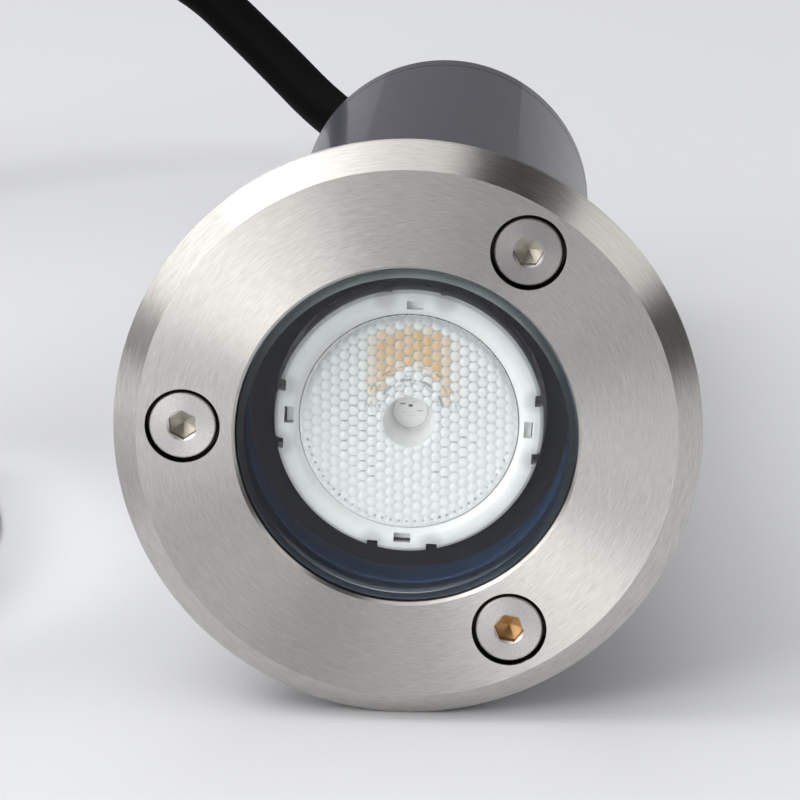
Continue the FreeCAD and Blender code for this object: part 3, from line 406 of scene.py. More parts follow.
def turning_group():
    """Fine lines that run round the light's axis, as a lathe or a brush leaves them."""
    group, given, result = new_group(
        "Turning lines",
        [("Vector", "NodeSocketVector", None), ("Lines", "NodeSocketFloat", 9000.0),
         ("Length", "NodeSocketFloat", LINE_LENGTH), ("Contrast", "NodeSocketFloat", 0.95)],
        [("Height", "NodeSocketFloat"), ("Tone", "NodeSocketFloat")])
    flat, radius, height = about_axis(group, given.outputs["Vector"])
    rings = arithmetic(group, "MULTIPLY", radius, given.outputs["Lines"])
    rise = arithmetic(group, "MULTIPLY", height, given.outputs["Lines"])
    outward = arithmetic(group, "MULTIPLY_ADD", rise, LINE_SLOPE, rings)
    unit = node(group, "ShaderNodeVectorMath", {0: flat}, operation="NORMALIZE")
    around = node(group, "ShaderNodeVectorMath",
                  {0: unit.outputs["Vector"], "Scale": given.outputs["Length"]},
                  operation="SCALE")
    turn = split(group, around.outputs["Vector"])
    place = node(group, "ShaderNodeCombineXYZ", {"X": outward, "Y": turn["X"], "Z": turn["Y"]})
    noise = node(group, "ShaderNodeTexNoise", {"Vector": place.outputs["Vector"], "Scale": 1.0,
                                               "Detail": 3.0, "Roughness": 0.65})
    tone = mapped(group, noise.outputs["Fac"], 0.3, 0.7)
    calm = arithmetic(group, "SUBTRACT", tone, 0.5)
    scaled = arithmetic(group, "MULTIPLY", calm, given.outputs["Contrast"])
    link(group, noise.outputs["Fac"], result.inputs["Height"])
    link(group, arithmetic(group, "ADD", scaled, 0.5), result.inputs["Tone"])
    return group


def grain_group():
    """Fine moulded or coated grain with soft blotches."""
    group, given, result = new_group(
        "Moulded grain",
        [("Vector", "NodeSocketVector", None), ("Grain", "NodeSocketFloat", 3000.0),
         ("Blotch", "NodeSocketFloat", 60.0)],
        [("Height", "NodeSocketFloat"), ("Blotches", "NodeSocketFloat")])
    fine = node(group, "ShaderNodeTexNoise", {"Vector": given.outputs["Vector"],
                                              "Scale": given.outputs["Grain"], "Detail": 2.0})
    soft = node(group, "ShaderNodeTexNoise", {"Vector": given.outputs["Vector"],
                                              "Scale": given.outputs["Blotch"], "Detail": 3.0})
    link(group, fine.outputs["Fac"], result.inputs["Height"])
    link(group, soft.outputs["Fac"], result.inputs["Blotches"])
    return group


GROUPS = {}


def group_named(name):
    """A node group by its name, built the first time that it is asked for."""
    if name not in GROUPS:
        GROUPS[name] = {"turning": turning_group, "grain": grain_group}[name]()
    return GROUPS[name]


GRAINS_A_BLOTCH = 40


def moulded(name, base, rough=0.5, grain=3000.0, depth=0.03 * MM, spread=0.12, specular=0.5,
            metallic=0.0, coat=0.0):
    """Plastic, rubber or paint: a base colour with soft blotches and fine grain.

    grain is how many grains fit in a metre, and spread how far the blotches go from the base.
    """
    material, shader = new_material(name)
    tree = material.node_tree
    spot = node(tree, "ShaderNodeTexCoord")
    skin = place_group(tree, group_named("grain"), {"Vector": spot.outputs["Object"],
                                                    "Grain": grain,
                                                    "Blotch": grain / GRAINS_A_BLOTCH})
    blotches = skin.outputs["Blotches"]
    link(tree, varied(tree, base, blotches, 1 - spread, 1 + spread), shader.inputs["Base Color"])
    link(tree, ranged(tree, blotches, rough * 0.85, rough * 1.15), shader.inputs["Roughness"])
    shader.inputs["Specular IOR Level"].default_value = specular
    shader.inputs["Metallic"].default_value = metallic
    shader.inputs["Coat Weight"].default_value = coat
    link(tree, bump(tree, skin.outputs["Height"], 0.4, depth), shader.inputs["Normal"])
    return material


def plain_metal(name, base, rough=0.3):
    """Metal with soft blotches and a fine grain, for small fittings."""
    return moulded(name, base, rough=rough, grain=2500.0, depth=0.01 * MM, spread=0.08,
                   metallic=1.0)


def axis_coordinates(tree, centre):
    """Object coordinates in the lamp's upright frame, moved to a centre on the lying lamp."""
    spot = node(tree, "ShaderNodeTexCoord")
    turn = node(tree, "ShaderNodeMapping", {"Vector": spot.outputs["Object"],
                                            "Location": centre,
                                            "Rotation": LAY.to_euler()},
                vector_type="TEXTURE")
    return turn.outputs["Vector"]


def lamp_coordinates(tree):
    return axis_coordinates(tree, LAY.to_translation())


def far_from_axis(tree, near, far, centre=None):
    """Mask that goes from 0 to 1 between two radii about an upright axis, or the light's own."""
    place = axis_coordinates(tree, LAY.to_translation() if centre is None else centre)
    return mapped(tree, about_axis(tree, place)[1], near, far)


EDGE_BLUR = 0.1 * MM  # width over which one finish passes into the next


def sunk_mask(tree, centre, height, reach):
    """Mask of what lies below a height and within a distance of an upright axis."""
    apart = split(tree, axis_coordinates(tree, centre))
    below = mapped(tree, apart["Z"], height, height - EDGE_BLUR)
    inside = far_from_axis(tree, reach, reach - EDGE_BLUR, centre)
    return arithmetic(tree, "MULTIPLY", below, inside)


def turned_metal(name, base, rough=0.38, anisotropy=0.97, lines=9000.0, contrast=0.95,
                 centre=None, painted_recess_shade=None):
    """Metal with fine lines round an axis and the stretched gloss that they give.

    Its recess shade is (height, reach, colour): below that height and within that reach of the
    axis the metal takes that darker colour, a painted shade.
    """
    centre = LAY.to_translation() if centre is None else centre
    material, shader = new_material(name)
    tree = material.node_tree
    marks = place_group(tree, group_named("turning"),
                        {"Vector": axis_coordinates(tree, centre), "Lines": lines,
                         "Length": LINE_LENGTH, "Contrast": contrast})
    tone = marks.outputs["Tone"]
    skin = varied(tree, base, tone, 0.80, 1.16)
    # Painted shade: recesses below a height and near the axis take a darker colour.
    if painted_recess_shade:
        height, reach, dark = painted_recess_shade
        skin = blend_colours(tree, sunk_mask(tree, centre, height, reach), skin, dark)
    link(tree, skin, shader.inputs["Base Color"])
    link(tree, ranged(tree, tone, rough * 0.9, rough * 1.1), shader.inputs["Roughness"])
    shader.inputs["Metallic"].default_value = 1.0
    shader.inputs["Anisotropic"].default_value = anisotropy
    link(tree, bump(tree, marks.outputs["Height"], 0.3, BRUSH_DEEP), shader.inputs["Normal"])
    spot = node(tree, "ShaderNodeTexCoord")
    outward = node(tree, "ShaderNodeVectorMath", {0: spot.outputs["Object"], 1: centre},
                   operation="SUBTRACT")
    turn = node(tree, "ShaderNodeVectorTransform", {"Vector": outward.outputs["Vector"]},
                vector_type="VECTOR", convert_from="OBJECT", convert_to="WORLD")
    link(tree, turn.outputs["Vector"], shader.inputs["Tangent"])
    return material


GLASS_CLEAR = (0.99, 1.0, 0.997)
GLASS_GLOSS = (0.4, 0.4, 0.42, 1.0)
GLASS_SHADOW = (0.97, 0.985, 0.98, 1.0)  # what the glass lets through to its shadow


def clear_glass(name, edge, wall):
    """Clear glass with a ground, grey-green edge and a painted reflection of the dark wall on its
    side and lower edge; its shadow lets the light through.
    """
    material, shader = new_material(name)
    tree = material.node_tree
    ground = far_from_axis(tree, GLASS_EDGE - EDGE_BLUR / 2, GLASS_EDGE + EDGE_BLUR / 2)
    apart = split(tree, lamp_coordinates(tree))
    foot = GLASS_TOP - GLASS_BEVEL
    side = mapped(tree, apart["Z"], foot + 0.02 * MM, foot - 0.08 * MM)
    # Painted reflection: towards the lower side the ground edge takes the dark wall's colour in
    # place of the sky, and so does the side below the bevel.
    lower = mapped(tree, apart["Y"], 6 * MM, -18 * MM)
    tint = blend_colours(tree, side, blend_colours(tree, lower, edge, wall), wall)
    link(tree, blend_colours(tree, ground, GLASS_CLEAR, tint), shader.inputs["Base Color"])
    link(tree, ranged(tree, ground, 0.0, 0.5), shader.inputs["Roughness"])
    shader.inputs["Transmission Weight"].default_value = 1.0
    shader.inputs["IOR"].default_value = 1.5
    shader.inputs["Specular Tint"].default_value = GLASS_GLOSS
    path = node(tree, "ShaderNodeLightPath")
    clear = node(tree, "ShaderNodeBsdfTransparent", {"Color": GLASS_SHADOW})
    choice = node(tree, "ShaderNodeMixShader", {0: path.outputs["Is Shadow Ray"],
                                                1: shader.outputs["BSDF"],
                                                2: clear.outputs["BSDF"]})
    output = next(each for each in tree.nodes if each.type == "OUTPUT_MATERIAL")
    link(tree, choice.outputs["Shader"], output.inputs["Surface"])
    return material


def lamp_grain(tree, blotch):
    """The moulded grain of a piece of the optic, in the lamp's own frame."""
    return place_group(tree, group_named("grain"), {"Vector": lamp_coordinates(tree),
                                                    "Grain": 2500.0, "Blotch": blotch})


def chamber_black(name, colours, wall):
    """Black moulding whose wall, past a radius, is painted blue-black: a painted reflection, for
    the blue cast seen through the glass before it.
    """
    material, shader = new_material(name)
    tree = material.node_tree
    blotches = lamp_grain(tree, 90.0).outputs["Blotches"]
    outside = far_from_axis(tree, wall, wall + 0.3 * MM)
    plain = varied(tree, colours.baffle, blotches, 0.8, 1.2)
    # Painted reflection: past the radius the wall takes the blue-black colour.
    link(tree, blend_colours(tree, outside, plain, colours.chamber), shader.inputs["Base Color"])
    link(tree, ranged(tree, blotches, 0.55, 0.68), shader.inputs["Roughness"])
    shader.inputs["Specular IOR Level"].default_value = 0.1
    return material


SLOT_SPOT_SHARE = 0.55  # how far the spots at the slots' roots go towards their grey
SLOT_SPOT_GREY = 0.52  # brightness of that grey beside the plain plastic
# painted shade on the window floors to the left and below
PAINTED_POCKET_SHADE = (0.045, 0.047, 0.052)


def holder_white(name, base):
    """Slightly cloudy white plastic with grey spots at the roots of its slots, and painted shade
    on the floors of the windows to the left and below.
    """
    material, shader = new_material(name)
    tree = material.node_tree
    turn = node(tree, "ShaderNodeVectorRotate",
                {"Vector": lamp_coordinates(tree), "Angle": -OPTIC_TURN}, rotation_type="Z_AXIS")
    size = node(tree, "ShaderNodeVectorMath", {0: turn.outputs["Vector"]}, operation="ABSOLUTE")
    apart = split(tree, size.outputs["Vector"])
    # The four arms are alike, so the spots are drawn in one eighth of the ring.
    far = arithmetic(tree, "MAXIMUM", apart["X"], apart["Y"])
    near = arithmetic(tree, "MINIMUM", apart["X"], apart["Y"])
    flat = node(tree, "ShaderNodeCombineXYZ", {"X": far, "Y": near})
    away = node(tree, "ShaderNodeVectorMath", {0: flat.outputs["Vector"],
                                               1: (SLOT_REACH, ARM_HALF, 0.0)},
                operation="DISTANCE")
    spots = mapped(tree, away.outputs["Value"], 2.6 * MM, 0.6 * MM, 0.0, SLOT_SPOT_SHARE, smooth=True)
    skin = lamp_grain(tree, 240.0)
    plain = varied(tree, base, skin.outputs["Blotches"], 0.94, 1.04)
    spotted = blend_colours(tree, spots, plain, [channel * SLOT_SPOT_GREY for channel in base])
    # Painted shade: the noted window floors take a near black colour.
    link(tree, blend_colours(tree, painted(tree, "painted_window_shade"), spotted, PAINTED_POCKET_SHADE),
         shader.inputs["Base Color"])
    link(tree, ranged(tree, skin.outputs["Blotches"], 0.24, 0.36), shader.inputs["Roughness"])
    link(tree, bump(tree, skin.outputs["Height"], 0.3, 0.01 * MM), shader.inputs["Normal"])
    return material


# colour of the painted shade marks on the lens
LENS_SHADE = (0.10, 0.11, 0.12)


def lens_finish(name, colours):
    """The lens painted as it looks from outside: white from its holder, yellow from the chip, with
    painted shade marks and a painted light in its well.
    """
    material, shader = new_material(name)
    tree = material.node_tree
    blotches = lamp_grain(tree, 500.0).outputs["Blotches"]
    plain = varied(tree, colours.lens, blotches, 0.95, 1.05)
    # Painted light: the well of the lens takes a near white colour.
    lit = blend_colours(tree, painted(tree, "well"), plain, colours.clear)
    warm = blend_colours(tree, painted(tree, "glow"), lit, colours.amber)
    # Painted shade: the marks noted on the mesh darken the lens.
    link(tree, blend_colours(tree, painted(tree, "shade"), warm, LENS_SHADE),
         shader.inputs["Base Color"])
    link(tree, ranged(tree, blotches, 0.12, 0.22), shader.inputs["Roughness"])
    return material


STRIPE_PITCH = 4 * MM


def striped(name, base, stripe):
    """Insulation with a stripe along it."""
    material, shader = new_material(name)
    tree = material.node_tree
    spot = node(tree, "ShaderNodeTexCoord")
    waves = node(tree, "ShaderNodeTexWave", {"Vector": spot.outputs["Object"],
                                             "Scale": 1.0 / STRIPE_PITCH, "Distortion": 0.4},
                 bands_direction="Z")
    edge = mapped(tree, waves.outputs["Fac"], 0.45, 0.55)
    link(tree, blend_colours(tree, edge, base, stripe), shader.inputs["Base Color"])
    shader.inputs["Roughness"].default_value = 0.4
    return material


# ---- stage ----------------------------------------------------------------------------------

# The camera was fitted to the photograph with the bezel, the screw circle and the rear end.
CAMERA_PLACE = (0.022985, -0.652599, 0.245980)
CAMERA_ELEVATION = math.radians(19.472)
CAMERA_AZIMUTH = math.radians(2.4909)
FRAME_PIXELS = 800
FOCAL_PIXELS = 3866
SENSOR = 36.0


def make_camera():
    """A camera at the photograph's place, with its framing."""
    data = bpy.data.cameras.new("camera")
    camera = bpy.data.objects.new("camera", data)
    bpy.context.scene.collection.objects.link(camera)
    data.sensor_fit = "HORIZONTAL"
    data.sensor_width = SENSOR
    data.lens = FOCAL_PIXELS * SENSOR / FRAME_PIXELS
    data.clip_start = 0.02
    data.clip_end = 20.0
    right = Vector((math.cos(CAMERA_AZIMUTH), math.sin(CAMERA_AZIMUTH), 0.0))
    level = Vector((-math.sin(CAMERA_AZIMUTH), math.cos(CAMERA_AZIMUTH), 0.0))
    forward = level * math.cos(CAMERA_ELEVATION) - Vector((0, 0, math.sin(CAMERA_ELEVATION)))
    up = right.cross(forward)
    turn = Matrix((right, up, -forward)).transposed()
    camera.matrix_world = Matrix.Translation(CAMERA_PLACE) @ turn.to_4x4()
    bpy.context.scene.camera = camera


# Soft square lamps: name, place, width and power.
STAGE_LAMPS = [
    ("front_left", (-0.44, -1.04, 0.25), 0.40, 1.6),
    ("key_left", (-0.80, -0.75, 0.46), 0.45, 2.1),
    ("key_high", (-0.50, -0.70, 0.80), 0.40, 1.2),
    ("top_left", (-0.62, -0.15, 0.84), 0.35, 2.4),
]
LAMP_AIM = (0.0, -0.05, 0.04)
# A soft spot lightens the table at the edge of the picture, beside the coiled lead.
SPOT_PLACE = (-0.10, -0.30, 0.50)
SPOT_AIM = (-0.090, -0.036, 0.0)
SPOT_CONE = math.radians(6.7)
SPOT_POWER = 24.0
SPOT_RADIUS = 0.03


def add_lamp(name, kind, power, place, aim, **settings):
    """Adds a lamp that points from its place at its aim."""
    data = bpy.data.lights.new(name, kind)
    data.energy = power
    for label, value in settings.items():
        setattr(data, label, value)
    lamp = bpy.data.objects.new(name, data)
    bpy.context.scene.collection.objects.link(lamp)
    lamp.location = place
    lamp.rotation_mode = "QUATERNION"
    lamp.rotation_quaternion = (Vector(aim) - Vector(place)).to_track_quat("-Z", "Y")


def make_lamps():
    """The soft lamps and the soft spot."""
    for name, place, across, power in STAGE_LAMPS:
        add_lamp(name, "AREA", power, place, LAMP_AIM, size=across)
    add_lamp("edge_spot", "SPOT", SPOT_POWER, SPOT_PLACE, SPOT_AIM, spot_size=SPOT_CONE,
             spot_blend=1.0, shadow_soft_size=SPOT_RADIUS)


# Soft patches of the room that the metal reflects: direction, half width and added light.
ROOM_PATCHES = [
    ((-0.78, -0.12, 0.62), 40.0, 0.85),
    ((0.70, -0.45, 0.32), 40.0, -0.16),
]
# Strips along the lamp's axis, beside it: angle about the axis, half width and added light.
ROOM_STRIPS = [
    (6.0, 8.0, -0.8),
    (34.0, 14.0, 1.3),
    (66.0, 7.0, -1.5),
    (98.0, 20.0, 1.3),
    (175.0, 8.0, -0.8),
]
ROOM_LEVEL = 0.20
ROOM_DARKEST = 0.01
# A patch or strip fades between these shares of its half width.
SOFT_OUTSIDE = 1.3
SOFT_INSIDE = 0.7
FLOOR_WIDE = 6.0


def facing(tree, direction, heading):
    """How nearly a direction of the room points along a heading."""
    return node(tree, "ShaderNodeVectorMath",
                {0: direction, 1: list(Vector(heading).normalized())},
                operation="DOT_PRODUCT").outputs["Value"]


def make_world():
    """A pale room with soft bright and dark patches and strips."""
    world = bpy.data.worlds.new("pale_room")
    bpy.context.scene.world = world
    world.use_nodes = True
    tree = world.node_tree
    tree.nodes.clear()
    output = node(tree, "ShaderNodeOutputWorld")
    direction = node(tree, "ShaderNodeTexCoord").outputs["Generated"]
    tone = ROOM_LEVEL
    for heading, half_width, gain in ROOM_PATCHES:
        outside = math.cos(math.radians(half_width * SOFT_OUTSIDE))
        inside = math.cos(math.radians(half_width * SOFT_INSIDE))
        patch = mapped(tree, facing(tree, direction, heading), outside, inside, 0.0, gain, True)
        tone = arithmetic(tree, "ADD", tone, patch)
    upward = facing(tree, direction, LAY.to_3x3() @ Vector((0, 1, 0)))
    angle = arithmetic(tree, "ARCTAN2", upward, facing(tree, direction, (1, 0, 0)))
    ahead = arithmetic(tree, "ABSOLUTE", facing(tree, direction, LIGHT_AXIS))
    beside = mapped(tree, ahead, 0.85, 0.55, 0.0, 1.0, True)
    for middle, half_width, gain in ROOM_STRIPS:
        apart = arithmetic(tree, "SUBTRACT", angle, math.radians(middle))
        strip = mapped(tree, arithmetic(tree, "ABSOLUTE", apart),
                       math.radians(half_width * SOFT_OUTSIDE),
                       math.radians(half_width * SOFT_INSIDE), 0.0, gain, True)
        tone = arithmetic(tree, "ADD", tone, arithmetic(tree, "MULTIPLY", strip, beside))
    tone = arithmetic(tree, "MAXIMUM", tone, ROOM_DARKEST)
    room = node(tree, "ShaderNodeBackground", {"Color": (1, 1, 1, 1), "Strength": tone})
    link(tree, room.outputs[0], output.inputs["Surface"])


def make_floor(colours):
    """A pale table top under the lamp."""
    select_only()
    bpy.ops.mesh.primitive_plane_add(size=FLOOR_WIDE)
    floor = begin("floor")
    bpy.ops.object.mode_set(mode="OBJECT")
    material, shader = new_material("pale_table")
    shader.inputs["Base Color"].default_value = (*colours.floor, 1.0)
    shader.inputs["Roughness"].default_value = 0.6
    shader.inputs["Specular IOR Level"].default_value = 0.25
    floor.data.materials.append(material)


class WELL_OT_stage(bpy.types.Operator):
    """Sets up the camera, the pale table and the soft light"""
    bl_idname = "well.stage"
    bl_label = "Stage"

    def execute(self, context):
        make_camera()
        make_lamps()
        make_world()
        make_floor(context.scene.well_colours)
        context.scene.view_settings.view_transform = "Standard"
        return {"FINISHED"}


# ---- the rubber lead ------------------------------------------------------------------------

# The route in metres, near the part's own: out of the gland, over an arch, to the coil.
ROUTE = [
    (-0.0080, 0.1410, 0.0193),
    (-0.0256, 0.1630, 0.0208),
    (-0.0432, 0.1788, 0.0342),
    (-0.0620, 0.1887, 0.0493),
    (-0.0890, 0.1887, 0.0575),
    (-0.1210, 0.1793, 0.0570),
    (-0.1500, 0.1570, 0.0470),
    (-0.1700, 0.1270, 0.0320),
    (-0.1795, 0.0920, 0.0165),
    (-0.1823, 0.0570, 0.0064),
    (-0.1828, 0.0240, 0.0062),
]
COIL_CENTRE = (-0.127, -0.045)
COIL_OUTER = 0.054
COIL_STEP = 0.0106
COIL_START_ANGLE = 180.0
COIL_FOOT = 0.0012
QUARTERS_IN = 3
QUARTERS_CLIMB = 2
QUARTERS_OUT = 2
QUARTERS = QUARTERS_IN + QUARTERS_CLIMB + QUARTERS_OUT
POINTS_A_QUARTER = 6
LEAD_STRAIGHT = 0.012  # straight piece behind the gland
LEAD_RUN_IN = 0.025  # straight piece before the coil


def coil_spot(quarter, across):
    """Middle of the coiled lead after some quarter turns: in, up a layer, and out again."""
    reversal = QUARTERS_IN + QUARTERS_CLIMB / 2
    inward = min(quarter, reversal)
    outward = max(quarter - reversal, 0)
    climb = min(max(quarter - QUARTERS_IN, 0), QUARTERS_CLIMB)
    radius = COIL_OUTER - COIL_STEP * (inward - outward) / 4
    rise = (1 - math.cos(math.pi * climb / QUARTERS_CLIMB)) / 2
    angle = math.radians(COIL_START_ANGLE + 90 * quarter)
    return Vector((COIL_CENTRE[0] + radius * math.cos(angle),
                   COIL_CENTRE[1] + radius * math.sin(angle),
                   COIL_FOOT + across / 2 + COIL_STEP * rise))


def coil_heading(quarter, across):
    """Which way the coiled lead runs after some quarter turns."""
    step = 0.02
    return (coil_spot(quarter + step, across) - coil_spot(quarter - step, across)).normalized()


def round_curve(name, points, across):
    """A smooth round cord: one NURBS line with these control points."""
    data = bpy.data.curves.new(name, "CURVE")
    data.dimensions = "3D"
    data.bevel_depth = across / 2
    data.bevel_resolution = 8
    data.resolution_u = 12
    data.use_fill_caps = True
    line = data.splines.new("NURBS")
    line.points.add(len(points) - 1)
    for spot, point in zip(points, line.points):
        point.co = (*spot, 1.0)
    line.order_u = 3
    line.use_endpoint_u = True
    curve = bpy.data.objects.new(name, data)
    bpy.context.scene.collection.objects.link(curve)
    return curve


class WELL_OT_lead(bpy.types.Operator):
    """Lays the rubber lead from its gland to its coil"""
    bl_idname = "well.lead"
    bl_label = "Lead"

    def execute(self, context):
        across = context.scene.well_sizes.cord
        nut_foot = heights("gland_nut")[0]
        exit_spot = LAY @ Vector((0, 0, nut_foot))
        straight = LAY @ Vector((0, 0, nut_foot - LEAD_STRAIGHT))
        heading = coil_heading(0, across)
        entry = coil_spot(0, across) - heading * across
        points = [exit_spot - (straight - exit_spot) * 0.5, straight]
        points += [Vector(spot) for spot in ROUTE]
        points += [entry - heading * LEAD_RUN_IN, entry]
        steps = QUARTERS * POINTS_A_QUARTER
        points += [coil_spot(step / POINTS_A_QUARTER, across) for step in range(steps + 1)]
        points.append(coil_spot(QUARTERS, across) + coil_heading(QUARTERS, across) * across)
        lead = round_curve("lead", points, across)
        rubber = moulded("cord_rubber", context.scene.well_colours.rubber, rough=0.55,
                         grain=1500.0, depth=0.04 * MM, spread=0.25, specular=0.03)
        finish_piece(lead, "lamp", "cord_rubber", rubber, "cord_lead", "cord_coil")
        return {"FINISHED"}


# ---- bezel and screws -----------------------------------------------------------------------

REBATE = 30.3 * MM  # radius of the rebate over the glass
REBATE_DEEP = 0.6 * MM
OPENING_CHAMFER = 0.5 * MM
SCREW_HOLE = 3.2 * MM
BEZEL_EDGE = 0.2 * MM  # rounding of the bezel's sharp edges
OVERSHOOT = 1.0 * MM  # how far a cutting piece stands out of what it cuts


class WELL_OT_bezel(bpy.types.Operator):
    """Turns the steel bezel and drills its three counterbores"""
    bl_idname = "well.bezel"
    bl_label = "Bezel"

    def execute(self, context):
        sizes = context.scene.well_sizes
        flat = sizes.rim - sizes.bevel
        step = BEZEL_FOOT + REBATE_DEEP
        bezel = turned("bezel_ring", [
            (REBATE, BEZEL_FOOT),
            (sizes.rim, BEZEL_FOOT),
            (sizes.rim, FACE - sizes.bevel),
            (flat, FACE),
            (sizes.opening + OPENING_CHAMFER, FACE),
            (sizes.opening, FACE - OPENING_CHAMFER),
            (sizes.opening, step),
            (REBATE, step),
        ], sizes.round_steps)
        for spot in SCREW_SPOTS:
            for plug in ((sizes.counterbore, FACE - sizes.counterbore_deep, FACE + OVERSHOOT, 96),
                         (SCREW_HOLE, BEZEL_FOOT - OVERSHOOT, FACE, 48)):
                cut(bezel, cylinder("drill", *plug, spot.xy))
        soften(bezel, BEZEL_EDGE)
        lay_down(bezel)
        colours = context.scene.well_colours
        # Painted shade: below its flat face, as in the counterbores and the opening, the bezel is
        # painted dark.
        steel = turned_metal("brushed_steel", colours.steel,
                             painted_recess_shade=(FACE - 2 * BEZEL_EDGE, flat - 2 * BEZEL_EDGE,
                                   colours.recess_painted_shade))
        finish_piece(bezel, "lamp", "brushed_steel", steel, "bezel")
        return {"FINISHED"}


SOCKET_TURNS = (0.0, 33.0, -9.0)  # degrees, as the sockets stand in the photograph
SOCKET_DEEP = 1.7 * MM
SOCKET_CONE = 1.0 * MM  # depth of the drill's cone below the socket
SCREW_TIP, SCREW_TOP = heights("bezel_screw_1")
SHANK = 3.0 * MM
TIP_CHAMFER = 0.8 * MM
HEAD_CHAMFER = 0.2 * MM


def make_screw(name, sizes, socket_turn):
    """One low-headed socket screw, upright on the light's axis."""
    head = sizes.head
    screw = turned(name, [
        (SHANK - TIP_CHAMFER, SCREW_TIP),
        (SHANK, SCREW_TIP + TIP_CHAMFER),
        (SHANK, HEAD_FOOT),
        (head - HEAD_CHAMFER, HEAD_FOOT),
        (head, HEAD_FOOT + HEAD_CHAMFER),
        (head, SCREW_TOP - HEAD_CHAMFER),
        (head - HEAD_CHAMFER, SCREW_TOP),
    ], 96, loop=False)
    corner = sizes.key / math.sqrt(3)
    socket = turned("socket", [(0.05 * MM, SCREW_TOP - SOCKET_DEEP - SOCKET_CONE),
                               (corner, SCREW_TOP - SOCKET_DEEP),
                               (corner, SCREW_TOP + OVERSHOOT)], 6, loop=False)
    # The ring's first point stands on +Y, so a quarter turn brings it onto +X.
    socket.rotation_euler.z = math.radians(socket_turn + 90.0)
    bpy.ops.object.transform_apply(location=True, rotation=True, scale=True)
    cut(screw, socket)
    lead_in = turned("lead_in", [(corner * 0.90, SCREW_TOP - 0.22 * MM),
                                 (corner * 1.08, SCREW_TOP + 0.05 * MM)], 48, loop=False)
    cut(screw, lead_in)
    soften(screw, 0.06 * MM)
    return screw


SOCKET_SHADE_FROM = 0.42 * MM  # depth below the head's top from which a socket is painted darker: painted shade
SOCKET_SHADE_REACH = 9 * MM


class WELL_OT_screws(bpy.types.Operator):
    """Makes the three socket screws that hold the bezel"""
    bl_idname = "well.screws"
    bl_label = "Bezel screws"

    def execute(self, context):
        colours = context.scene.well_colours
        # Painted shade: the upper screw gets a darker copy of the same steel, and each socket is
        # painted darker inside.
        steels = (colours.upper_screw_painted_shade, colours.screw, colours.screw)
        sockets = (colours.socket, colours.socket, colours.bronze_socket_shade)
        for index, spot in enumerate(SCREW_SPOTS):
            number = index + 1
            foot = Vector((spot.x, spot.y, 0))
            screw = make_screw(f"socket_screw_{number}", context.scene.well_sizes,
                               SOCKET_TURNS[index])
            lay_down(screw, Matrix.Translation(foot))
            steel = turned_metal(f"screw_steel_{number}", steels[index], rough=0.42,
                                 anisotropy=0.4, contrast=1.0, centre=LAY @ foot,
                                 painted_recess_shade=(SCREW_TOP - SOCKET_SHADE_FROM, SOCKET_SHADE_REACH,
                                       sockets[index]))
            finish_piece(screw, f"screw_{number}", "screw_steel", steel,
                         f"bezel_screw_{number}")
        return {"FINISHED"}


# ---- glass, baffle and gaskets --------------------------------------------------------------

GLASS_FOOT, GLASS_TOP = heights("glass")
GLASS_EDGE = 24.7 * MM  # radius where the ground edge of the window begins
GLASS_WINDOW = 25.85 * MM  # radius of the window in the bezel's opening
GLASS_BEVEL = 0.5 * MM
GLASS_STEP = 4.0 * MM  # thickness of the rim under the bezel
GLASS_CHAMFER = 0.4 * MM


class WELL_OT_glass(bpy.types.Operator):
    """Turns the stepped glass with its ground edge"""
    bl_idname = "well.glass"
    bl_label = "Glass"

    def execute(self, context):
        colours = context.scene.well_colours
        rim = widest("glass")
        glass = turned("stepped_glass", [
            (rim - GLASS_CHAMFER, GLASS_FOOT),
            (rim, GLASS_FOOT + GLASS_CHAMFER),
            (rim, GLASS_FOOT + GLASS_STEP),
            (GLASS_WINDOW, GLASS_FOOT + GLASS_STEP),
            (GLASS_WINDOW, GLASS_TOP - GLASS_BEVEL),
            (GLASS_EDGE, GLASS_TOP),
        ], context.scene.well_sizes.round_steps, loop=False, angle=15.0)
        lay_down(glass)
        finish_piece(glass, "lamp", "glass",
                     clear_glass("glass", colours.glass_edge, colours.painted_wall_reflection), "glass")
        return {"FINISHED"}


BAFFLE_WALL = 1.0 * MM
BAFFLE_LIP = 0.8 * MM
BAFFLE_COLLAR = 21.25 * MM  # radius of the hole for the optic


class WELL_OT_baffle(bpy.types.Operator):
    """Turns the black ring round the optic"""
    bl_idname = "well.baffle"
    bl_label = "Baffle"

    def execute(self, context):
        foot, top = heights("baffle")
        skirt = widest("baffle")
        inside = skirt - BAFFLE_WALL
        baffle = turned("black_baffle", [
            (inside, foot),
            (skirt, foot),
            (skirt, top),
            (skirt - BAFFLE_LIP, top),
            (inside, top - 6.4 * MM),
            (BAFFLE_COLLAR, top - 7.4 * MM),
            (BAFFLE_COLLAR, top - 8.6 * MM),
            (inside, top - 7.8 * MM),
        ], context.scene.well_sizes.round_steps)
        soften(baffle, 0.2 * MM)
        lay_down(baffle)
        black = chamber_black("baffle_black", context.scene.well_colours, inside - 0.3 * MM)
        finish_piece(baffle, "lamp", "baffle_black", black, "baffle")
        return {"FINISHED"}


# ---- lens holder ----------------------------------------------------------------------------

